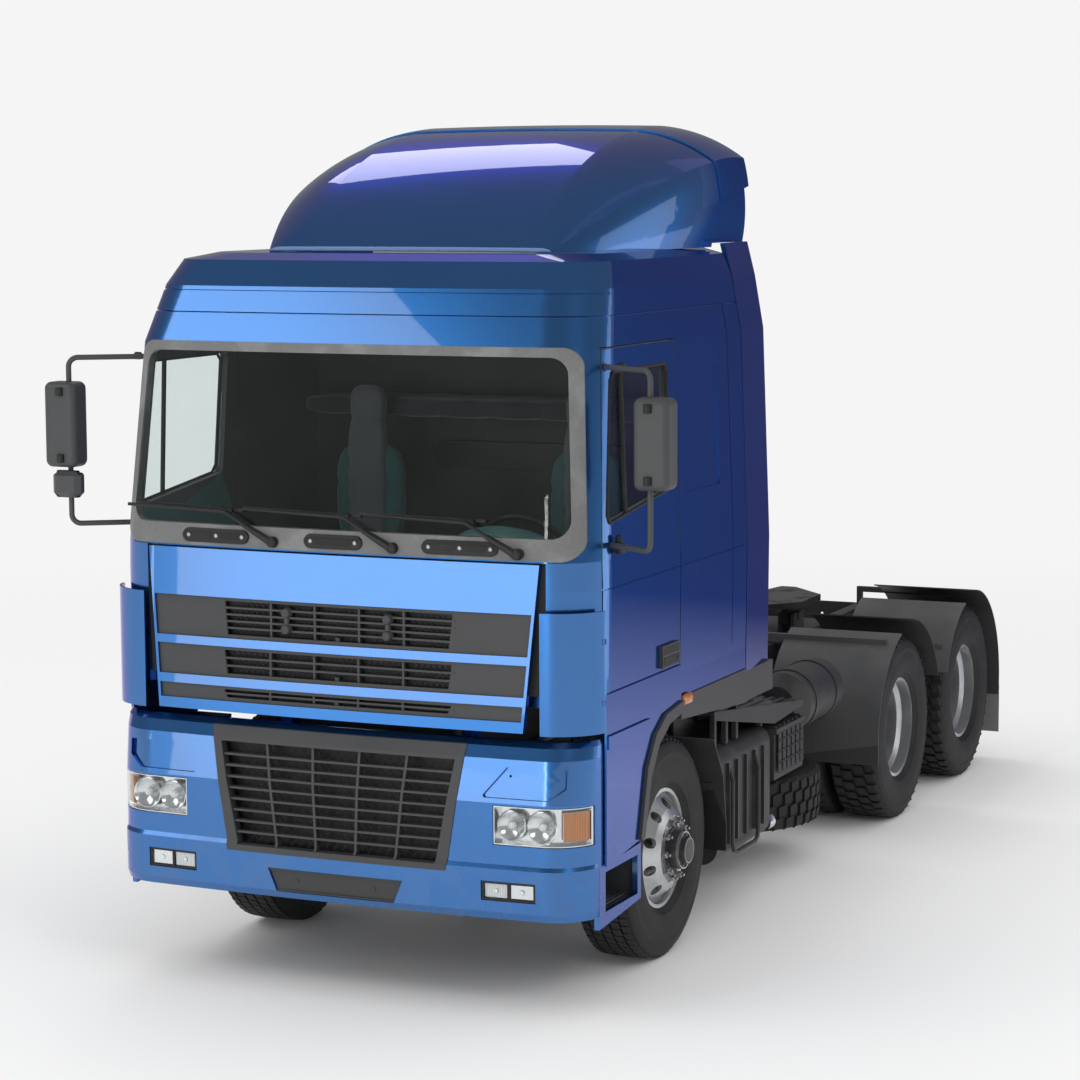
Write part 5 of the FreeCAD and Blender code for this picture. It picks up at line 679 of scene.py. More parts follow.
# %% Tyres on their axles
wheel_height, steer_place = 0.542, 0.98
axles = {"front": at(1.36), "1": at(4.92), "2": at(6.29)}
outer_twin, inner_twin, twin_turn = 1.084, 0.739, 0.4
tyre_crease = 28


def tyre_piece(shapes, name, body):
    return shapes.piece(name, body, "tyre_rubber", tyre_rubber, tyre_crease, weld=False)


for side, sign in (("left", 1), ("right", -1)):
    steer = steer_tyre().copies([shift(steer_place * sign, axles["front"], wheel_height)])
    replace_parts(tyre_piece(steer, f"steer_tyre_{side}", f"front_wheel_{side}"), f"front_tyre_{side}")
    for axle in ("1", "2"):
        twins = drive_tyre().copies([shift(x * sign, axles[axle], wheel_height) @ spin(k * twin_turn, "X")
                                     for k, x in enumerate((outer_twin, inner_twin))])
        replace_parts(tyre_piece(twins, f"drive_tyres_{axle}_{side}", f"rear_wheels_{axle}_{side}"),
                    f"rear_tyres_{axle}_{side}")

# %% [markdown]
# The spare lies flat under the frame with its own wheel in it. Its tyre is the driving tyre laid on its
# side, and its wheel is a turned rim with a turned, dished disc.

# %% Spare wheel
def road_wheel(plate=0.009, steps=60):
    """A rim and disc about the X axis, dished towards +X."""
    made = Stock()
    rim = [(-0.114, 0.305), (-0.114, 0.297), (-0.100, 0.288), (-0.055, 0.284), (-0.032, 0.257),
           (0.032, 0.257), (0.055, 0.284), (0.100, 0.288), (0.114, 0.297), (0.114, 0.305)]
    back = [(x, r - plate) for x, r in reversed(rim[1:-1])]
    made.turn(rim + back + rim[:1], (0, 0, 0), 0, steps, caps=False)
    disc = [(0.070, 0.279), (0.084, 0.279), (0.148, 0.207), (0.1715, 0.165), (0.1715, 0.090), (0.158, 0.090),
            (0.158, 0.158), (0.138, 0.198), (0.070, 0.279)]
    return made.turn(disc, (0, 0, 0), 0, steps, caps=False)


lay_flat = shift(0.61, at(3.53), 0.385) @ Matrix.Rotation(-math.pi / 2, 4, "Y")
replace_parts(tyre_piece(drive_tyre().copies([lay_flat]), "spare_tyre", "chassis"), "spare_wheel")
road_wheel().copies([lay_flat]).piece("spare_disc", "chassis", "wheel_steel", wheel_silver)

# %% [markdown]
# Each wheel is held by ten nuts. A nut here is a hexagon with a turned collar and a stud's end, made once
# and copied round the circle. Its measures are shares of the thread's radius and of how far the nut stands
# out.

# %% A wheel nut and a ring of them
def ring_of(shape, count, centre, phase=0.0):
    return shape.copies([spin(2 * math.pi * (i + phase) / count, "X", centre) for i in range(count)])


def nut(x, y, z, radius, reach):
    made = Stock()
    collar = [(0, radius * 1.35), (reach * 0.18, radius * 1.35), (reach * 0.2, radius)]
    hexagon = [(reach * 0.15, radius * 0.98), (reach * 0.7, radius), (reach * 0.8, radius * 0.86)]
    stud = [(reach * 0.7, radius * 0.5), (reach * 1.2, radius * 0.5), (reach * 1.25, radius * 0.4)]
    for profile, steps in ((collar, 14), (hexagon, 6), (stud, 10)):
        made.turn(profile, (x, y, z), 0, steps)
    return made


def small_bolts(x, y, radius, count, size):
    return ring_of(Stock().turn([(0, size), (size * 0.9, size), (size * 1.1, size * 0.7)],
                                (x, y, wheel_height + radius), 0, 6), count, (x, y, wheel_height))


nut_count, nut_reach = 10, 0.034
print("a nut has", len(nut(0, 0, 0, 0.0165, nut_reach).faces), "faces")

# %% [markdown]
# The hub wears a dark cover with its own ring of small bolts. Front hubs stand proud of the wheel, and on
# the driven axles the hub lies deep in the dish. A cover is a turned profile of steps out from the wheel's
# face.

# %% Wheel nuts and hub covers
front_cover = [(0.001, 0.112), (0.006, 0.112), (0.010, 0.0965), (0.044, 0.0945), (0.052, 0.090),
               (0.063, 0.086), (0.064, 0.068), (0.080, 0.0655), (0.0865, 0.058), (0.0885, 0.030),
               (0.0885, 0.0)]
rear_cover = [(0.100, 0.1335), (0.1235, 0.1335), (0.1265, 0.128), (0.1265, 0.099), (0.142, 0.0975),
              (0.1490, 0.090), (0.1500, 0.060), (0.1500, 0.0)]
front_face, rear_face = steer_place + 0.1725, 0.9115


def hub_cover(profile, x, y, bolts):
    return Stock().turn(profile, (x, y, wheel_height), 0, 48).join(bolts)


for side, move in sides.items():
    y, body = axles["front"], f"front_wheel_{side}"
    nuts = ring_of(nut(front_face, y, wheel_height + 0.1420, 0.0165, nut_reach), nut_count,
                   (front_face, y, wheel_height), 0.5)
    nuts.copies([move]).piece(f"front_nuts_{side}", body, "wheel_steel", zinc)
    cover = hub_cover(front_cover, front_face, y, small_bolts(front_face + 0.0625, y, 0.0765, 10, 0.0062))
    cover.copies([move]).piece(f"front_hub_{side}", body, "chassis_paint", hub_black)
    for axle in ("1", "2"):
        y, body = axles[axle], f"rear_wheels_{axle}_{side}"
        nuts = ring_of(nut(rear_face + 0.012, y, wheel_height + 0.1510, 0.0155, nut_reach), nut_count,
                       (rear_face, y, wheel_height), 0.5)
        nuts.copies([move]).piece(f"rear_nuts_{axle}_{side}", body, "wheel_steel", zinc)
        cover = hub_cover(rear_cover, rear_face, y, small_bolts(rear_face + 0.126, y, 0.113, 12, 0.0075))
        cover.copies([move]).piece(f"rear_hub_{axle}_{side}", body, "chassis_paint", hub_black)

# %% [markdown]
# Lamps and grilles are let into the bumper, so its face is wanted as a function first: given a distance
# from the middle and a height, it answers with the point there. Its rows are height, half width and front
# station, as the cab's are. Sheets can then be laid on it between two depths.

# %% The bumper's skin
bumper_half, bumper_run = 1.232, 0.23
bumper_rows = [(z, bumper_half, st) for z, st in (
    (0.465, 0.022), (0.500, 0.004), (0.700, 0.0003), (0.718, 0.014), (1.000, 0.014), (1.200, 0.034),
    (1.255, 0.052), (1.280, 0.085))]


def bumper_skin(x, z, inset=0.0):
    """A point on the bumper's face; past the corner it runs back along the side."""
    arc = bumper_run * math.pi / 2
    shoulder = bumper_half - bumper_run
    if x <= shoulder:
        return Vector((x, at(skin_station(bumper_rows, x, z, inset, bumper_run)), z))
    angle = min((x - shoulder) / arc, 1.0) * math.pi / 2
    turn_y = row_at(bumper_rows, z)[1] + front_bow + bumper_run
    return Vector((shoulder + math.sin(angle) * (bumper_run - inset),
                   at(turn_y - math.cos(angle) * (bumper_run - inset)), z))


def skin_sheet(x_low, x_high, z_low, z_high, outer, inner, across, up):
    """A thin sheet on the bumper between two depths, closed round its edges."""
    xs = [x_low + (x_high - x_low) * i / across for i in range(across + 1)]
    zs = [z_low + (z_high - z_low) * k / up for k in range(up + 1)]
    return Stock().loft([[bumper_skin(x, z, outer) for z in zs]
                         + [bumper_skin(x, z, inner) for z in reversed(zs)] for x in xs])


print("bumper's face at the middle: y", round(bumper_skin(0, 0.9).y, 3))

# %% [markdown]
# A headlamp is read from its depth: a clear cover that follows the bumper, a bright bowl behind it, two
# round reflectors with their bulbs and an amber lamp at the outer end. The cover is a sheet on the bumper's
# skin, so its highlights run on from the paint round it.

# %% Headlamps
lamp_start, lamp_reach = 0.800, 1.002 + bumper_run * math.pi / 2 * 0.80
lamp_low, lamp_high, bulb_height = 0.811, 0.987, 0.899
bowl_walls = [(0.799, 0.803, lamp_low, lamp_high, 2, 4),
              (lamp_reach - 0.012, lamp_reach, lamp_low, lamp_high, 2, 4),
              (lamp_start, lamp_reach, lamp_low, 0.815, 24, 1),
              (lamp_start, lamp_reach, 0.983, lamp_high, 24, 1)]
bulb_shape = [(0.010, 0.0), (0.012, 0.013), (0.022, 0.016), (0.048, 0.014)]


def reflector_shape(radius):
    """A bowl's front and back, out from its rim and round again."""
    return [(0.012, radius), (0.010, radius - 0.004), (0.030, radius * 0.72), (0.044, radius * 0.35),
            (0.050, 0.012), (0.054, 0.012), (0.050, radius * 0.5), (0.036, radius * 0.86),
            (0.016, radius + 0.002), (0.012, radius)]


for side, move in sides.items():
    cover = skin_sheet(lamp_start, lamp_reach, lamp_low, lamp_high, 0.0005, 0.0035, 36, 6)
    cover_piece = cover.copies([move]).piece(f"headlamp_cover_{side}", "chassis", "lamp_glass", lamp_cover)
    if side == "left":
        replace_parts(cover_piece, "front_lamps")
    bowl = skin_sheet(lamp_start, lamp_reach, 0.812, 0.986, 0.052, 0.058, 30, 6)
    for x_low, x_high, z_low, z_high, across, up in bowl_walls:
        bowl.join(skin_sheet(x_low, x_high, z_low, z_high, 0.004, 0.056, across, up))
    bowl.copies([move]).piece(f"headlamp_bowl_{side}", "chassis", "lamp_glass", chrome)
    reflectors, bulbs = Stock(), Stock()
    for x, radius in ((0.882, 0.070), (1.028, 0.074)):
        place = (x, bumper_skin(x, 0.9).y, bulb_height)
        reflectors.turn(reflector_shape(radius), place, 1, 36, caps=False)
        bulbs.turn(bulb_shape, place, 1, 20)
    reflectors.copies([move]).piece(f"headlamp_reflectors_{side}", "chassis", "lamp_glass", chrome)
    bulbs.copies([move]).piece(f"headlamp_bulbs_{side}", "chassis", "lamp_glass", clear_lens)
    turn_lamp = skin_sheet(1.135, lamp_reach - 0.018, 0.835, 0.965, 0.010, 0.040, 12, 3)
    turn_lamp.copies([move]).piece(f"turn_lamp_{side}", "chassis", "lamp_glass", amber)

# %% [markdown]
# Below them, each fog lamp is a dark frame with two small rectangular lamps, one ribbed and one bright,
# each behind its own clear cover.

# %% Fog lamps
fog_start, fog_end, fog_low, fog_high, fog_height = 0.743, 1.005, 0.553, 0.641, 0.597
fog_ribs = [(fog_start, fog_end, fog_low, 0.562), (fog_start, fog_end, 0.632, fog_high),
            (fog_start, 0.754, fog_low, fog_high), (0.994, fog_end, fog_low, fog_high),
            (0.868, 0.880, fog_low, fog_high)]
for side, move in sides.items():
    frame_low = skin_sheet(fog_start, fog_end, fog_low, fog_high, 0.030, 0.058, 10, 2)
    for rib in fog_ribs:
        frame_low.join(skin_sheet(*rib, 0.005, 0.034, 6, 1))
    frame_low.copies([move]).piece(f"fog_frame_{side}", "chassis", "trim_plastic", black_plastic)
    for name, x_low, x_high, finish in (("inner", 0.758, 0.864, clear_lens), ("outer", 0.884, 0.990, chrome)):
        unit = skin_sheet(x_low, x_high, 0.566, 0.628, 0.014, 0.030, 6, 3)
        unit.copies([move]).piece(f"fog_{name}_{side}", "chassis", "lamp_glass", finish)
        glass = skin_sheet(x_low - 0.002, x_high + 0.002, 0.564, 0.630, 0.008, 0.010, 6, 2)
        glass.copies([move]).piece(f"fog_cover_{name}_{side}", "chassis", "lamp_glass", lamp_cover)
    bulb = Stock()
    for x in (0.811, 0.937):
        bulb.turn([(0.010, 0.0), (0.0105, 0.010), (0.0135, 0.012), (0.0145, 0.0)],
                  (x, bumper_skin(x, fog_height).y, fog_height), 1, 18)
    bulb.copies([move]).piece(f"fog_bulbs_{side}", "chassis", "lamp_glass", chrome)

# %% [markdown]
# Behind the bumper's slats and the lid's openings there is black mesh. Woven wire would be far too many
# faces for something in shadow, so each screen is a lattice of thin diagonal bars, wide enough apart to let
# the dark show through. The plain black sheet behind each is painted shade for the space inside.

# %% Grille screens
def lattice(half_low, half_high, z_low, z_high, y_at, pitch=0.045, wire=0.004, lean=0.9, trials=8):
    """Bars both ways across an opening whose half width changes from its foot to its top."""
    made = Stock()
    height = z_high - z_low
    for i in range(int((2 * half_high + height) / pitch)):
        for way in (1, -1):
            x0 = way * (-half_high - height / 2 + pitch * i)
            x1 = x0 + way * height * lean
            inside = []
            for share in [k / trials for k in range(trials + 1)]:
                x, z = x0 + (x1 - x0) * share, z_low + height * share
                if abs(x) <= half_low + (half_high - half_low) * share:
                    inside.append((x, z))
            if len(inside) > 1:
                (xa, za), (xb, zb) = inside[0], inside[-1]
                bar = [(xa, za), ((xa + xb) / 2, (za + zb) / 2), (xb, zb)]
                made.tube([(x, y_at(x, z), z) for x, z in bar], wire / 2, 4)
    return made


screen = lattice(0.520, 0.604, 0.706, 1.181, lambda x, z: bumper_skin(abs(x), z, 0.050).y)
screen.piece("bumper_screen", "chassis", "trim_plastic", black_plastic)
# Painted shade: a plain black sheet behind the bumper screen stands for the shadowed space inside.
backing = Stock().prism([(-0.54, 0.70), (0.54, 0.70), (0.63, 1.19), (-0.63, 1.19)], 1, at(0.115), at(0.122))
backing.piece("bumper_shade_sheet", "chassis", "trim_plastic", black_plastic)

lid_rows = [(1.325, 1.240, 0.016), (2.084, 1.240, 0.055)]


def lid_y(x, z, inset):
    return at(skin_station(lid_rows, abs(x), z, inset, 0.26))


for number, (low, high) in enumerate(((1.391, 1.428), (1.503, 1.614), (1.686, 1.844)), start=1):
    mesh = lattice(0.572, 0.584, low, high, lambda x, z: lid_y(x, z, 0.046), 0.030, 0.003)
    mesh.piece(f"lid_screen_{number}", "front_lid", "trim_plastic", black_plastic)
# Painted shade: black plates behind the lid's openings stand for the shadowed space inside.
lid_shade_plates = Stock()
for low, high in ((1.380, 1.440), (1.492, 1.625), (1.675, 1.855)):
    y = lid_y(0.6, low, 0.052)
    lid_shade_plates.brick((-0.60, y, low), (0.60, y + 0.004, high), 0.001)
lid_shade_plates.piece("lid_shade_sheet", "front_lid", "trim_plastic", black_plastic)

# %% [markdown]
# Two moulded bosses stand in front of the upper slats. Each has two round ends, which are turned forms,
# joined by a short upright bar.

# %% Lid bosses
bosses = Stock()
boss_shape = [(-0.022, 0.0), (-0.022, 0.012), (-0.018, 0.020), (-0.006, 0.025), (0.012, 0.027)]
for x in (-0.262, 0.262):
    for z in (1.727, 1.803):
        bosses.turn(boss_shape, (x, lid_y(x, z, 0.020), z), 1, 28)
    bosses.brick((x - 0.012, lid_y(x, 1.765, 0.012), 1.715), (x + 0.012, lid_y(x, 1.765, 0.036), 1.815),
                 0.005)
bosses.piece("lid_bosses", "front_lid", "trim_plastic", trim_plastic)

# %% [markdown]
# Rubber and moulded edges make a cab look built and not carved. The arms of the wipers come with the
# windscreen frame as one solid, so their faces are picked out by how far they stand ahead of the skin and
# turned black. Each arm then gets a blade that lies along the glass, a clip that holds it, and a cap and a
# sleeve at its pivot.

# %% Wipers
def screen_y(x, z, out):
    """Where a point lies that stands some way ahead of the cab's front skin."""
    return at(skin_station(cab_rows, x, z, -out))


finish_faces("windscreen_frame", black_plastic,
             lambda c: c.z < 2.30 and c.y < screen_y(c.x, c.z, 0.009))
blades, clips = Stock(), Stock()
pivots, pivot_height, blade_length, slices = (-0.333, 0.287, 0.907), 2.130, 0.62, 14
pivot_cap = [(-0.004, 0.0), (-0.004, 0.014), (0.002, 0.023), (0.020, 0.026), (0.036, 0.026)]
arm_lengths = [(0.010, 0.017), (0.060, 0.015), (0.120, 0.012), (0.165, 0.010)]
arm_section = [(-1, 0.012), (-1, -0.004), (-0.5, -0.011), (0.5, -0.011), (1, -0.004), (1, 0.012)]
along, across = Vector((-0.25, 0, 0.132)).normalized(), Vector((0.132, 0, 0.25)).normalized()
for pivot in pivots:
    rings = []
    for i in range(slices + 1):
        x = pivot - 0.17 - blade_length * i / slices
        low, high = 2.258 + 0.0008 * i, 2.276 + 0.0008 * i
        section = ((low, -0.006), (low + 0.006, 0.002), (low + 0.004, 0.010), (high, 0.012), (high, 0.004),
                   (low + 0.010, -0.004))
        rings.append([Vector((x, screen_y(x, z, out), z)) for z, out in section])
    blades.loft(rings)
    knee = pivot - 0.25
    clips.brick((knee - 0.045, screen_y(knee, 2.262, 0.034), 2.254),
                (knee + 0.03, screen_y(knee, 2.262, 0.004), 2.276), 0.006)
    clips.turn(pivot_cap, (pivot, at(0.0475), pivot_height), 1, 24)
    root = Vector((pivot, at(0.052), pivot_height))
    clips.loft([[root + along * out + across * edge * half + Vector((0, drop, 0))
                 for edge, drop in arm_section] for out, half in arm_lengths])
blades.piece("wiper_blades", "cab", "frame_rubber", hose_rubber)
clips.piece("wiper_clips", "cab", "frame_rubber", black_plastic)

# %% [markdown]
# Three long handholds are let into the panel below the windscreen. Each is a raised loop with a dark hollow
# between each two of its screws. A loop follows the bowed skin, so it is lofted from slices whose height
# swells and shrinks like a stadium's outline.

# %% Handholds
hold_height = 2.145
grips = [(-0.825, -0.465, (-0.79, -0.64, -0.50)), (-0.170, 0.130, (-0.135, 0.095)),
         (0.431, 0.805, (0.466, 0.62, 0.77))]


def stadium(x_low, x_high, half, outer, inner, slices=26):
    """A pad with half-round ends, laid on the front skin."""
    rings = []
    side = outer - 0.004
    section = ((-1, inner), (-1, side), (-0.75, outer), (0.75, outer), (1, side), (1, inner))
    for i in range(slices + 1):
        share = (1 - math.cos(math.pi * i / slices)) / 2
        x = x_low + (x_high - x_low) * share
        end = min(x - x_low, x_high - x, half)
        height = max(math.sqrt(max(half ** 2 - (half - end) ** 2, 0)), 0.0006)
        heights = [(hold_height + k * height, out) for k, out in section]
        rings.append([Vector((x, screen_y(x, z, out), z)) for z, out in heights])
    return Stock().loft(rings)


loops, hollows, screws = Stock(), Stock(), Stock()
for x_low, x_high, spots in grips:
    loops.join(stadium(x_low, x_high, 0.033, 0.016, 0.0))
    for a, b in zip(spots, spots[1:]):
        hollows.join(stadium(a + 0.022, b - 0.022, 0.019, 0.0175, 0.008))
    for x in spots:
        screws.turn([(0, 0.0095), (-0.003, 0.0095), (-0.0045, 0.006), (-0.0030, 0.005), (-0.0030, 0.0)],
                    (x, screen_y(x, hold_height, 0.0155), hold_height), 1, 16)
loops.piece("handholds", "cab", "trim_plastic", black_plastic)
hollows.piece("handhold_hollows", "cab", "frame_rubber", hose_rubber)
screws.piece("handhold_screws", "cab", "trim_plastic", zinc)

# %% [markdown]
# The mirror heads come as rounded boxes. Each gets a framed glass on its rear face, clamps where its tube
# passes and a knob on the lower bracket. A small wide-angle head hangs below the right one. The heads'
# places are read off the solids, so they follow if a size changes.

# %% Mirrors
def reach(name, low, high):
    """The box round the points of a solid between two heights."""
    points = [v.co for v in nodes[name].data.vertices if low < v.co.z < high]
    return [min(p[k] for p in points) for k in range(3)], [max(p[k] for p in points) for k in range(3)]


def plaque(x_low, x_high, z_low, z_high, y_low, y_high, corner):
    """A flat plate that faces along Y, with round corners."""
    corners = ((x_high - corner, z_high - corner, 0), (x_low + corner, z_high - corner, 90),
               (x_low + corner, z_low + corner, 180), (x_high - corner, z_low + corner, 270))
    outline = []
    for x, z, start in corners:
        angles = [math.radians(start + a) for a in (0, 22.5, 45, 67.5, 90)]
        outline += [(x + corner * math.cos(a), z + corner * math.sin(a)) for a in angles]
    return Stock().prism(outline, 1, y_low, y_high)


head_low, head_high, bracket_x = 2.42, 2.85, 1.262
tube_clamp = [(-0.020, 0.017), (-0.017, 0.019), (0.017, 0.019), (0.020, 0.017)]
end_clamp = [(-0.016, 0.016), (-0.013, 0.0185), (0.013, 0.0185), (0.016, 0.016)]
knob_shape = [(-0.030, 0.0), (-0.030, 0.018), (-0.024, 0.026), (0.012, 0.029), (0.024, 0.022), (0.030, 0.0)]
for side, move in sides.items():
    low, high = reach(f"mirror_{side}", head_low, head_high)
    inner, outer = sorted((abs(low[0]), abs(high[0])))
    rear, ahead = high[1], low[1]
    body = f"door_{side}"
    rim = plaque(inner + 0.016, outer - 0.016, 2.446, 2.824, rear - 0.004, rear + 0.002, 0.024)
    rim.copies([move]).piece(f"mirror_rim_{side}", body, "trim_plastic", black_plastic)
    sheet_glass = plaque(inner + 0.026, outer - 0.026, 2.456, 2.814, rear + 0.0015, rear + 0.0035, 0.020)
    sheet_glass.copies([move]).piece(f"mirror_glass_{side}", body, "glass", chrome)
    tube_x, tube_y = outer - 0.097, ahead - 0.002
    fittings = Stock()
    for z in (2.475, 2.795):
        fittings.turn(tube_clamp, (tube_x, tube_y, z), 2, 22)
        fittings.brick((tube_x - 0.020, tube_y + 0.004, z - 0.016),
                       (tube_x + 0.020, tube_y + 0.024, z + 0.016), 0.003)
    for z in (2.130, 2.955):
        fittings.turn(end_clamp, (bracket_x, at(0.436), z), 0, 22)
    fittings.copies([move]).piece(f"mirror_clamps_{side}", body, "trim_plastic", black_plastic)
    knob = Stock().turn(knob_shape, (bracket_x, at(0.402), 2.138), 0, 26)
    knob.turn([(-0.006, 0.018), (0.034, 0.014), (0.040, 0.0)], (bracket_x, at(0.402), 2.160), 2, 20)
    knob.copies([move]).piece(f"mirror_bracket_{side}", body, "trim_plastic", black_plastic)
    if side == "right":
        small = Stock().brick((outer - 0.19, tube_y + 0.004, 2.285), (outer - 0.035, tube_y + 0.075, 2.415),
                              0.024)
        small.copies([move]).piece("small_mirror", body, "trim_plastic", visor_plastic)
        small_glass = plaque(outer - 0.178, outer - 0.047, 2.297, 2.403, tube_y + 0.074, tube_y + 0.0765,
                             0.016)
        small_glass.copies([move]).piece("small_mirror_glass", body, "glass", chrome)

# %% [markdown]
# A rubber lip runs round each door window and down its divider. The lip is a thin tube along the window's
# outline, laid on the cab's side, whose half width shrinks with height. Below it sit the door's handle,
# which is two long plates with a round lock on the lower one, and the cab's amber side marker, a softened
# oblong.

# %% Window seals, door handles and side markers
def side_x(z, out):
    return row_at(cab_rows, z)[0] + out


window = [(0.339, 2.249), (0.433, 2.930), (1.131, 2.930), (1.096, 2.336)]
window_corner = 0.035


def window_path():
    """The window's outline as (station, height) with each corner cut round."""
    path = []
    for k, here in enumerate(Vector(corner) for corner in window):
        before, after = Vector(window[k - 1]), Vector(window[(k + 1) % 4])
        for share in (0.0, 0.35, 0.65, 1.0):
            a = here + (before - here).normalized() * window_corner * (1 - share)
            b = here + (after - here).normalized() * window_corner * share
            path.append(a + b - here)
    return path + path[:1]


def side_marker(y=at(1.300), z=1.303, half_long=0.066, half_high=0.026, steps=28):
    angles = [2 * math.pi * (i + 0.5) / steps for i in range(steps)]
    outline = [(y + half_long * math.cos(a) * abs(math.cos(a)) ** -0.5,
                z + half_high * math.sin(a) * abs(math.sin(a) + 1e-6) ** -0.4) for a in angles]
    return Stock().loft([[Vector((x, y + (b - y) * size, z + (c - z) * size)) for b, c in outline]
                         for x, size in ((1.244, 1.0), (1.252, 1.0), (1.258, 0.86), (1.260, 0.5))])


for side, move in sides.items():
    seals = Stock().tube([(side_x(p.y, -0.004), at(p.x), p.y) for p in window_path()], 0.008, 8)
    seals.tube([(side_x(z, -0.010), at(0.573), z) for z in (2.27 + 0.11 * k for k in range(7))], 0.012, 8)
    seals.copies([move]).piece(f"window_seal_{side}", f"door_{side}", "frame_rubber", hose_rubber)
    handle = Stock()
    handle.brick((1.2555, at(0.972), 1.560), (1.2580, at(1.168), 1.596), 0.001)
    handle.brick((1.2555, at(0.972), 1.508), (1.2590, at(1.168), 1.548), 0.002)
    handle.turn([(0.0, 0.011), (0.0035, 0.011), (0.005, 0.008), (0.005, 0.0)],
                (1.2570, at(1.152), 1.528), 0, 18)
    handle.copies([move]).piece(f"door_handle_{side}", f"door_{side}", "trim_plastic", black_plastic)
    side_marker().copies([move]).piece(f"side_marker_{side}", "cab", "lamp_glass", amber)

# %% [markdown]
# The bumper's middle recess has a black moulded holder with a raised lip. It spreads as it rises, so it is
# a sheet from (height, half width) rows. The lower step shows through the bumper's side: a wall, and a
# tread of raised metal bars. The wall is body paint, but it gets a lighter cyan that paints the light it
# catches.

# %% Bumper holder and lower step
def face_panel(rows, outer, inner, slices=18):
    """A sheet on the bumper's middle from (height, half width) rows, between two depths."""
    rings = []
    for z, half in rows:
        xs = [-half + 2 * half * i / slices for i in range(slices + 1)]
        places = [(x, outer) for x in xs] + [(x, inner) for x in reversed(xs)]
        rings.append([Vector((x, bumper_skin(abs(x), z, inset).y, z)) for x, inset in places])
    return Stock().loft(rings)


holder = face_panel([(0.503, 0.303), (0.601, 0.343)], 0.0105, 0.0138)
for z_low, z_high, half_low, half_high in ((0.499, 0.507, 0.303, 0.306), (0.596, 0.604, 0.341, 0.345)):
    holder.join(face_panel([(z_low, half_low), (z_high, half_high)], 0.004, 0.013))
for x in (-0.2, 0.2):
    holder.turn([(-0.003, 0.0), (-0.003, 0.010), (0.004, 0.012)],
                (x, bumper_skin(0.2, 0.55, 0.010).y, 0.552), 1, 18)
holder.piece("plate_holder", "chassis", "trim_plastic", guard_plastic)
wells, treads = Stock(), Stock()
wells.brick((0.955, at(0.318), 0.478), (0.960, at(0.698), 0.652), 0.001)
for i in range(9):
    treads.brick((0.975 + 0.024 * i, at(0.325), 0.4722), (0.989 + 0.024 * i, at(0.690), 0.4805), 0.002)
# Painted light: the step's wall is blue body paint, and this lighter cyan plastic stands for the bright light
# it catches.
well_painted_light = moulded("well_painted_light", (0.08, 0.38, 0.66), 0.3, 300, 0.2)
wells.copies(both).piece("step_well", "chassis", "blue_paint", well_painted_light)
treads.copies(both).piece("step_treads", "chassis", "galvanised", zinc)

# %% [markdown]
# Seats and mattresses are soft. A pad here is a crowned closed form: rounded like a box that was filled,
# with sewn channels pressed across it. Its sections are rounded squares that swell from nothing at one end
# and shrink again to the other.

# %% A filled pad
def pad(low, high, channels, power, along=2, rows=26, steps=40):
    """A filled cushion between two corners, with channels at shares of its length along an axis."""
    low, high = Vector(low), Vector(high)
    middle, half = (low + high) / 2, (high - low) / 2
    first, second = [k for k in range(3) if k != along]
    rings = []
    for i in range(rows + 1):
        t = -math.cos(math.pi * i / rows)
        size = max(1 - abs(t) ** power, 0.0001) ** (1 / power)
        for channel in channels:
            size *= 1 - channel_depth * math.exp(-((t - channel) / channel_width) ** 2)
        one = []
        for k in range(steps):
            angle = 2 * math.pi * k / steps
            c, s = math.cos(angle), math.sin(angle)
            pull = (abs(c) ** power + abs(s) ** power) ** (-1 / power)
            point = [0.0, 0.0, 0.0]
            point[first] = middle[first] + half[first] * c * pull * size
            point[second] = middle[second] + half[second] * s * pull * size
            point[along] = middle[along] + half[along] * t
            one.append(Vector(point))
        rings.append(one)
    return Stock().loft(rings)


def cushion(shapes, name, cloth):
    """A pad as a piece of the cab."""
    made = shapes.piece(name, "cab", "seat_cloth", cloth, soft_crease)
    return made


channel_depth, channel_width, soft_crease = 0.10, 0.045, 60

# %% [markdown]
# Each seat has a teal back and bolsters, and a grey middle that runs up into the headrest. It stands on a
# folded bellows, a stack of thin boxes that are wider and narrower by turns.

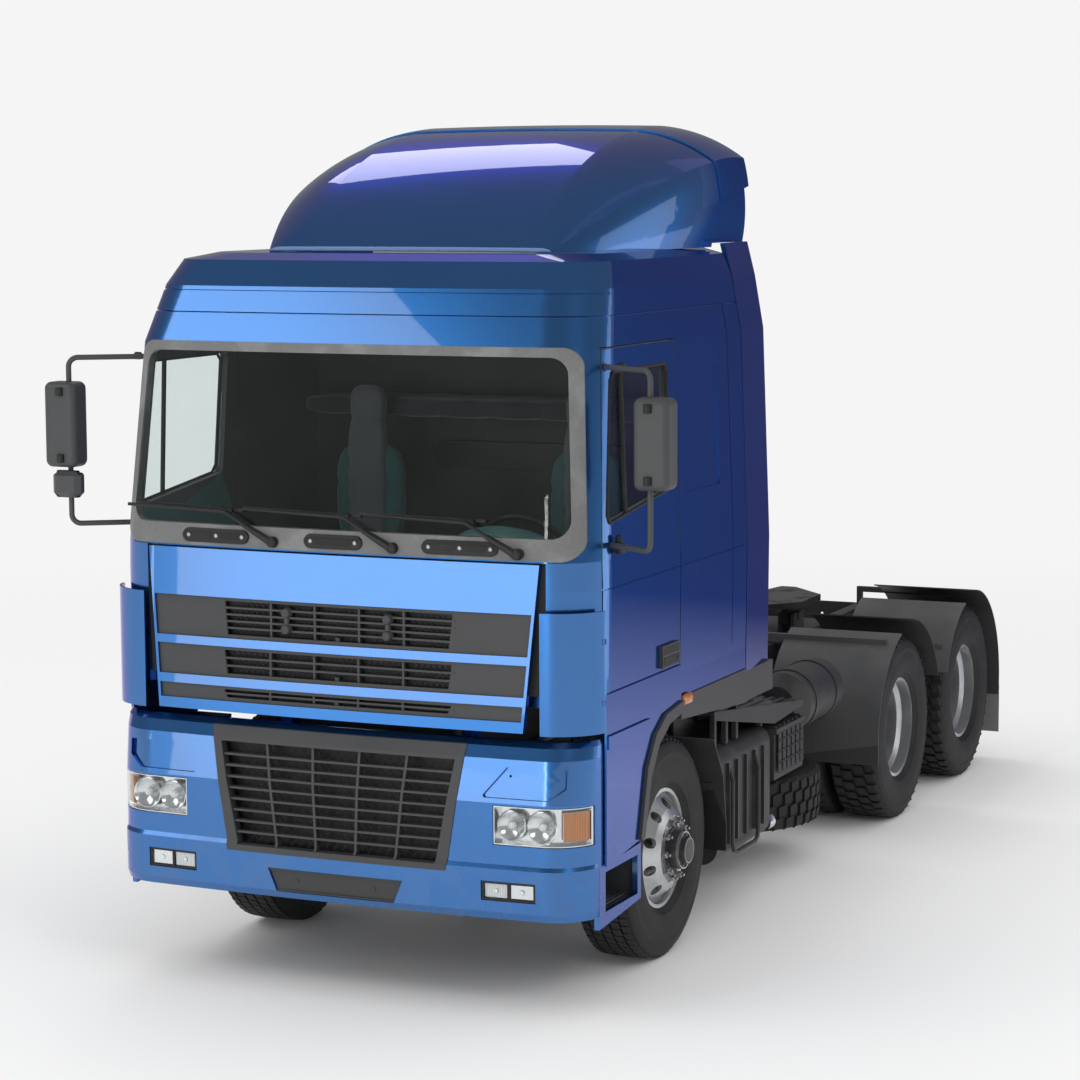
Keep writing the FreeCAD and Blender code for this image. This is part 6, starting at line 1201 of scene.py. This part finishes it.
# %% Seats
seat_low, seat_high = (Vector(corner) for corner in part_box("seats"))
x, front, rear = seat_high.x - 0.25, seat_low.y, seat_high.y
for side, move in sides.items():
    shell = pad((x - 0.19, rear - 0.100, 1.935), (x + 0.19, rear - 0.005, 2.455), (0.2,), 3.6)
    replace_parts(cushion(shell.copies([move]), f"seat_back_{side}", seat_teal), "seats")
    spine = pad((x - 0.105, rear - 0.128, 1.935), (x + 0.105, rear - 0.035, 2.62), (-0.35, 0.25), 4.2)
    cushion(spine.copies([move]), f"seat_spine_{side}", seat_grey)
    head = pad((x - 0.095, rear - 0.122, 2.545), (x + 0.095, rear - 0.020, 2.757), (), 3.2)
    cushion(head.copies([move]), f"headrest_{side}", seat_grey)
    bolsters = pad((x - 0.248, front + 0.004, 1.785), (x + 0.248, rear - 0.06, 1.905), (), 4.0, 1)
    for edge in (-1, 1):
        bolsters.join(pad((x + edge * 0.19 - 0.055, front + 0.02, 1.83),
                          (x + edge * 0.19 + 0.055, rear - 0.12, 1.928), (), 2.6, 1))
    cushion(bolsters.copies([move]), f"seat_bolsters_{side}", seat_teal)
    middle = pad((x - 0.135, front + 0.010, 1.84), (x + 0.135, rear - 0.125, 1.922), (-0.3, 0.35), 3.6, 1)
    cushion(middle.copies([move]), f"seat_cushion_{side}", seat_grey)
    base = Stock()
    for k in range(6):
        half = 0.150 + 0.012 * (k % 2)
        base.brick((x - half, front + 0.085, 1.487 + 0.049 * k), (x + half, rear - 0.085, 1.537 + 0.049 * k),
                   0.012)
    base.copies([move]).piece(f"seat_base_{side}", "cab", "interior_plastic", black_plastic)

# %% [markdown]
# Behind the seats there is a chest with a long mattress on it, and a second mattress on the upper bunk.
# Both have the same seven channels across.

# %% Mattresses
bunk_low, bunk_high = (Vector(corner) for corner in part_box("bunks"))
channels = (-0.75, -0.5, -0.25, 0.0, 0.25, 0.5, 0.75)
bunk_half, bunk_front = 1.075, at(2.083)
lower = pad((-bunk_half, bunk_low.y + 0.045, 1.70), (bunk_half, bunk_front, 1.858), channels, 6.0, 0, 60)
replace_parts(cushion(lower, "lower_mattress", bunk_cloth), "bunks")
upper = pad((-bunk_half, bunk_low.y + 0.004, 2.583), (bunk_half, bunk_high.y - 0.004, 2.688), channels, 6.0,
            0, 60)
cushion(upper, "upper_mattress", bunk_cloth)
chest = Stock().brick((-1.078, bunk_low.y + 0.044, 1.482), (1.078, bunk_front, 1.705), 0.012)
chest.piece("bunk_chest", "cab", "interior_plastic", dash_teal)

# %% [markdown]
# On the rear wall hangs a dark shelf with a round end, and on the dashboard stand the instrument hood, four
# air vents and a shallow tray. The steering wheel comes with the dashboard as one solid, so its faces are
# turned black by their place.

# %% Dashboard and shelf
steering_wheel, wheel_reach, column_end = Vector((0.62, at(0.83), 2.03)), 0.262, at(0.655)
finish_faces("dashboard", black_plastic,
             lambda c: (c - steering_wheel).length < wheel_reach and c.y > column_end)
shelf_end, shelf_middle, shelf_half = -0.385, 2.3725, 0.0675
angles = [math.pi * (0.5 + i / 12) for i in range(13)]
outline = [(1.10, 2.305), (1.10, 2.440)] + [(shelf_end + shelf_half * math.cos(a),
                                             shelf_middle + shelf_half * math.sin(a)) for a in angles]
Stock().prism(outline, 1, at(2.030), at(2.104)).piece("rear_shelf", "cab", "interior_plastic", black_plastic)
hood_rings = []
hood_slices = 14
for i in range(hood_slices + 1):
    share = i / hood_slices
    x, rise = 0.39 + 0.46 * share, 0.095 * math.sin(math.pi * share) ** 0.45
    hood_rings.append([Vector((x, at(st), z)) for st, z in
                       ((0.40, 2.085), (0.42, 2.100 + rise * 0.8), (0.50, 2.106 + rise),
                        (0.60, 2.098 + rise * 0.9), (0.605, 2.090 + rise * 0.82), (0.52, 2.085))])
Stock().loft(hood_rings).piece("instrument_hood", "cab", "interior_plastic", dash_teal)
vents = Stock()
for x in (-0.85, -0.25, 0.16, 0.95):
    vents.brick((x - 0.075, at(0.30), 2.088), (x + 0.075, at(0.335), 2.112), 0.006)
    for k in range(5):
        vents.brick((x - 0.060 + 0.028 * k, at(0.302), 2.108),
                    (x - 0.052 + 0.028 * k, at(0.333), 2.116), 0.001)
vents.brick((-0.30, at(0.40), 2.110), (0.10, at(0.55), 2.122), 0.008)
vents.brick((-0.28, at(0.412), 2.118), (0.08, at(0.538), 2.124), 0.003)
vents.piece("vents_and_tray", "cab", "interior_plastic", black_plastic)

# %% [markdown]
# Beside the frame on the truck's left, a black stepped cover runs back from the front wheel over the
# silencer to the batteries. It is one folded sheet with pressed ribs and a pale plate on its first step,
# and it stands on small brackets. The silencer below it is guarded by a bent tube.

# %% Stepped cover
steps = [(1.985, 1.112), (2.330, 1.112), (2.345, 1.040), (2.870, 1.030), (2.885, 0.962), (3.372, 0.950)]
under = [(st - 0.012, z - 0.014) for st, z in reversed(steps)]
cover = Stock().prism([(at(st), z) for st, z in steps + under], 0, 0.62, 1.125)
edge_board = [(1.985, 1.114), (3.372, 0.952), (3.372, 0.925), (2.9, 0.900), (1.985, 1.070)]
cover.prism([(at(st), z) for st, z in edge_board], 0, 1.118, 1.132)
for (st_low, st_high, z) in ((2.01, 2.31, 1.112), (2.37, 2.85, 1.036), (2.91, 3.35, 0.956)):
    for k in range(8):
        x = 0.66 + 0.058 * k
        cover.brick((x, at(st_low), z - 0.004), (x + 0.026, at(st_high), z + 0.007), 0.004)
for st, top in ((2.10, 1.10), (2.27, 1.10), (2.42, 1.03), (2.80, 1.02)):
    for x in (0.70, 1.06):
        cover.brick((x, at(st), 0.896), (x + 0.03, at(st + 0.03), top), 0.003)
cover.piece("stepped_cover", "chassis", "guard_plastic", guard_plastic)
plate_edges = [(1.990, 1.119), (2.300, 1.119), (2.300, 1.125), (1.990, 1.125)]
plate = Stock().prism([(at(st), z) for st, z in plate_edges], 0, 0.80, 1.118)
plate.piece("cover_plate", "chassis", "galvanised", pale_plastic)
guard_x = 1.128
guard_bends = [(-0.05, 2.215, 0.80), (0, 2.215, 0.78), (0.02, 2.215, 0.72), (0.02, 2.215, 0.40),
               (0.02, 2.23, 0.35), (0.02, 2.27, 0.335), (0.02, 2.55, 0.335), (0.02, 2.59, 0.35),
               (0.02, 2.605, 0.40), (0.02, 2.605, 0.72), (0, 2.605, 0.78), (-0.05, 2.605, 0.80)]
guard = Stock().tube([(guard_x + out, at(st), z) for out, st, z in guard_bends], 0.011, 10)
guard.piece("silencer_guard", "chassis", "chassis_paint", chassis_black)

# %% [markdown]
# Below and behind the cover, the exhaust pipe ends in a rolled tip and the battery case has moulded ribs.

# %% Tailpipe and battery case
tip = Stock().turn([(-0.060, 0.0395), (0.000, 0.0405), (0.004, 0.0425), (0.012, 0.0425), (0.012, 0.0365),
                    (-0.050, 0.0355)], (1.060, at(2.998), 0.345), 1, 32, caps=False)
tip.piece("tailpipe_tip", "chassis", "galvanised", chrome)
cells = Stock()
for k in range(6):
    st = 2.93 + 0.072 * k
    cells.brick((1.1405, at(st), 0.625), (1.1450, at(st + 0.052), 0.845), 0.003)
for z in (0.675, 0.735, 0.795):
    cells.brick((1.141, at(2.925), z), (1.1475, at(3.345), z + 0.012), 0.003)
cells.piece("battery_case_ribs", "chassis", "guard_plastic", black_plastic)

# %% [markdown]
# The rear mudguards are grey plastic in front of each axle and blacker behind, and their flaps are a paler
# grey. The front mudguards end in black rubber. The faces are picked by their place.

# %% Mudguard quarters and flaps
quarter_grey = moulded("quarter_grey", (0.075, 0.076, 0.078), 0.45, 300, 0.3)
finish_faces("rear_mudguards", quarter_grey,
             lambda c: (at(4.20) < c.y < at(4.86) or at(5.60) < c.y < at(6.20)) and c.z > 0.5)
finish_faces("rear_mudguards", pale_plastic, lambda c: c.y > at(6.90) and c.z < 0.44)
finish_faces("front_mudguards", hose_rubber, lambda c: c.z < 0.62)

# %% [markdown]
# A tail lamp is a black housing with its lenses side by side: amber for turning, red for braking and
# parking, and a clear one for backing up, with thin walls between.

# %% Tail lamps
lamp_rear, lens_pitch = Vector(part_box("tail_lamps")[1]).y, 0.0770
housing, reds, ambers, clears = Stock(), Stock(), Stock(), Stock()
housing.brick((0.722, lamp_rear - 0.130, 0.763), (1.118, lamp_rear - 0.022, 0.877), 0.010)
for k in range(6):
    housing.brick((0.7235 + lens_pitch * k, lamp_rear - 0.026, 0.768),
                  (0.7295 + lens_pitch * k, lamp_rear - 0.0015, 0.872), 0.001)
for k, kind in enumerate((clears, reds, reds, reds, ambers)):
    x = 0.731 + lens_pitch * k
    kind.brick((x, lamp_rear - 0.024, 0.772), (x + 0.069, lamp_rear - 0.003, 0.868), 0.006)
housing_piece = housing.copies(both).piece("tail_lamp_housings", "chassis", "tail_red", black_plastic)
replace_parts(housing_piece, "tail_lamps")
reds.copies(both).piece("tail_lenses_red", "chassis", "tail_red", red_lens)
ambers.copies(both).piece("tail_lenses_amber", "chassis", "lamp_glass", amber)
clears.copies(both).piece("tail_lenses_clear", "chassis", "lamp_glass", clear_lens)

# %% [markdown]
# The rails are bolted, not welded, so rows of small bolt heads follow the cross members. The front leaf
# springs get two more leaves below, bowed and a little shorter each time, and the coupling plate gets a
# ring of rivets that leaves out its throat.

# %% Rail bolts, spring leaves and rivets
bolt_head = [(0, 0.013), (0.003, 0.013), (0.0035, 0.0105), (0.011, 0.0105), (0.012, 0.009)]
bolt_stations = [1.86 + 0.09 * k for k in range(6)] + [
    2.74, 2.80, 3.94, 4.0, 4.30, 4.36, 4.42, 5.15, 5.21, 5.58, 5.64, 5.95, 6.01, 6.07, 6.60, 6.66, 6.80]
places = [shift(0.4005, at(st), z) for st in bolt_stations for z in (0.765, 0.945)]
bolts = Stock().turn(bolt_head, (0, 0, 0), 0, 6).copies(places)
bolts.copies(both).piece("rail_bolts", "chassis", "chassis_paint", chassis_black)
leaves = Stock()
leaf_slices, leaf_bow = 20, 0.10
leaf_section = [(0.407, -0.007), (0.473, -0.007), (0.473, 0.007), (0.407, 0.007)]
for k in range(2):
    rings = []
    for i in range(leaf_slices + 1):
        share = i / leaf_slices
        st = 0.80 + 0.06 * k + (1.94 - 0.12 * k - 0.80) * share
        z = 0.640 - 0.018 * k - leaf_bow * math.sin(math.pi * share) - 0.036
        rings.append([Vector((x, at(st), z + rise)) for x, rise in leaf_section])
    leaves.loft(rings)
leaves.copies(both).piece("spring_leaves", "chassis", "chassis_paint", cast_iron)
rivets = Stock()
plate_top = Vector(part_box("fifth_wheel")[1]).z
rivet_ring, rivet_count, rivet_radius = 0.30, 14, 0.009
rivet_shape = [(0, rivet_radius * 1.3), (0.0015, rivet_radius * 1.3), (0.002, rivet_radius)]
for k in range(rivet_count):
    angle = 2 * math.pi * (k + 0.5) / rivet_count
    x, y = rivet_ring * math.cos(angle), at(5.41) + rivet_ring * math.sin(angle) * 0.9
    if not (abs(x) < 0.26 and y > at(5.45)):
        rivets.turn(rivet_shape, (x, y, plate_top - 0.0024), 2, 16)
rivets.piece("coupling_rivets", "fifth_wheel", "coupling_steel", zinc)

# %% [markdown]
# The studio is a pale sweep of floor that runs up to a pale background with no line between. A rough white
# floor keeps the truck's soft shadow near the wheels, and further out it turns into plain light of the
# background's own value, so the two meet unseen.

# %% Studio: floor
paper, floor_radius, floor_corners = 0.915, 90, 64


def studio_floor():
    floor = Finish("studio_floor", Roughness=0.9, Specular_IOR_Level=0.1)
    away = floor.node("ShaderNodeVectorMath", {"operation": "LENGTH"}, {0: floor.place}, "Value")
    floor.feed(Base_Color=floor.mix(floor.noise(0.3, 2.0), (0.90, 0.90, 0.90), (0.92, 0.92, 0.92)))
    glow = floor.node("ShaderNodeEmission", {}, {"Color": (paper, paper, paper, 1), "Strength": 1.0})
    near = Flow(floor, floor.shader.outputs[0])
    floor.show(floor.node("ShaderNodeMixShader", {}, {0: floor.between(away, 6.0, 14.0), 1: near, 2: glow}))
    return floor.material


sheet = bpy.data.meshes.new("floor")
rim = [2 * math.pi * i / floor_corners for i in range(floor_corners)]
sheet.from_pydata([(math.cos(a) * floor_radius, math.sin(a) * floor_radius, 0) for a in rim], [],
                  [list(range(floor_corners))])
floor_piece = bpy.data.objects.new("floor", sheet)
floor_piece.data.materials.append(studio_floor())
bpy.context.scene.collection.objects.link(floor_piece)
print("floor radius", floor_radius)

# %% [markdown]
# The background answers by the kind of ray. Camera rays and rays that come through glass see the paper's
# own value. Light that falls on the truck comes from plain white, and polished surfaces see the same white
# far dimmer, which keeps the metallic paint deep.

# %% Studio: background
lit_strength, polished_strength = 0.90, 0.24
world = bpy.data.worlds.new("studio")
bpy.context.scene.world = world
air = Web(world)
polished, seen, through = (air.node("ShaderNodeLightPath", {}, {}, f"Is {kind} Ray")
                           for kind in ("Glossy", "Camera", "Transmission"))
strength = polished * (polished_strength - lit_strength) + lit_strength
lit = air.node("ShaderNodeBackground", {}, {"Color": (1, 1, 1, 1), "Strength": strength})
shown = air.node("ShaderNodeBackground", {}, {"Color": (paper, paper, paper, 1)})
direct = air.node("ShaderNodeMath", {"operation": "MAXIMUM"}, {0: seen, 1: through})
air.show(air.node("ShaderNodeMixShader", {}, {0: direct, 1: lit, 2: shown}))
print("studio background", paper)

# %% [markdown]
# A truck is photographed with large soft boxes. The main ones stand ahead and to the truck's right, which
# is the picture's left, so the front is bright and the door side falls off. Smaller ones lift the rear, the
# door and the truck's left.

# %% Studio: lamps
def soft_box(name, place, target, width, height, power):
    lamp_data = bpy.data.lights.new(name, "AREA")
    lamp_data.shape, lamp_data.size, lamp_data.size_y, lamp_data.energy = "RECTANGLE", width, height, power
    lamp = bpy.data.objects.new(name, lamp_data)
    lamp.location = place
    lamp.rotation_euler = (Vector(target) - Vector(place)).to_track_quat("-Z", "Y").to_euler()
    bpy.context.scene.collection.objects.link(lamp)
    print(name, power, "W")


soft_box("front_box", (-4.9, -16.6, 1.7), (0, -3.4, 1.5), 9.6, 3.0, 230)
soft_box("edge_box", (0.4, -17.0, 2.2), (0.8, -3.4, 1.8), 1.6, 4.2, 130)
soft_box("high_box", (-8.2, -11.5, 11.0), (0, -3.2, 3.2), 11.0, 5.0, 400)
soft_box("top_box", (-5.4, 6.0, 10.5), (0, -1.5, 3.9), 4.0, 3.0, 90)
soft_box("door_box", (6.6, 2.2, 2.6), (1.2, -2.6, 1.8), 3.0, 5.0, 42)
soft_box("left_box", (9.0, -9.0, 8.0), (1.0, -1.0, 1.5), 3.0, 3.0, 150)

# %% [markdown]
# Three flags are seen by reflections only: one stands beyond the door side, one lies on the floor there and
# one closes the far end. They are pale near the truck and dark further off, and paler again high up. They
# are what turns the metallic flank deep blue.

# %% Studio: flags
flag_cloth = Finish("flag_cloth", Roughness=1.0, Specular_IOR_Level=0.0, Emission_Strength=1.0)
far_off = flag_cloth.between(flag_cloth.axis("Y"), 1.5, 9.0)
high_up = flag_cloth.between(flag_cloth.axis("Z"), 8.0, 45.0)
dusk = flag_cloth.mix(far_off, (0.88, 0.88, 0.90), (0.070, 0.072, 0.155))
weave = flag_cloth.mix(flag_cloth.noise(2.0), (0.004, 0.005, 0.008), (0.008, 0.009, 0.012))
flag_cloth.feed(Base_Color=weave, Emission_Color=flag_cloth.mix(high_up, dusk, (0.34, 0.34, 0.40)))


def flag(name, corners):
    cloth = bpy.data.meshes.new(name)
    cloth.from_pydata(corners, [], [[0, 1, 2, 3]])
    card = bpy.data.objects.new(name, cloth)
    card.data.materials.append(flag_cloth.material)
    bpy.context.scene.collection.objects.link(card)
    for kind in ("camera", "diffuse", "shadow", "transmission"):
        setattr(card, f"visible_{kind}", False)


foot, far = 0.02, 60.0
flags = {"side_flag": [(6.6, 6.6, foot), (16.0, far, foot), (16.0, far, far), (6.6, 6.6, far)],
         "floor_flag": [(1.6, 1.6, foot), (9.0, 1.6, foot), (18.0, far, foot), (1.6, far, foot)],
         "back_flag": [(1.6, far, foot), (16.0, far, foot), (16.0, far, far), (1.6, far, far)]}
for name, corners in flags.items():
    flag(name, corners)
print("flags:", len(flags))
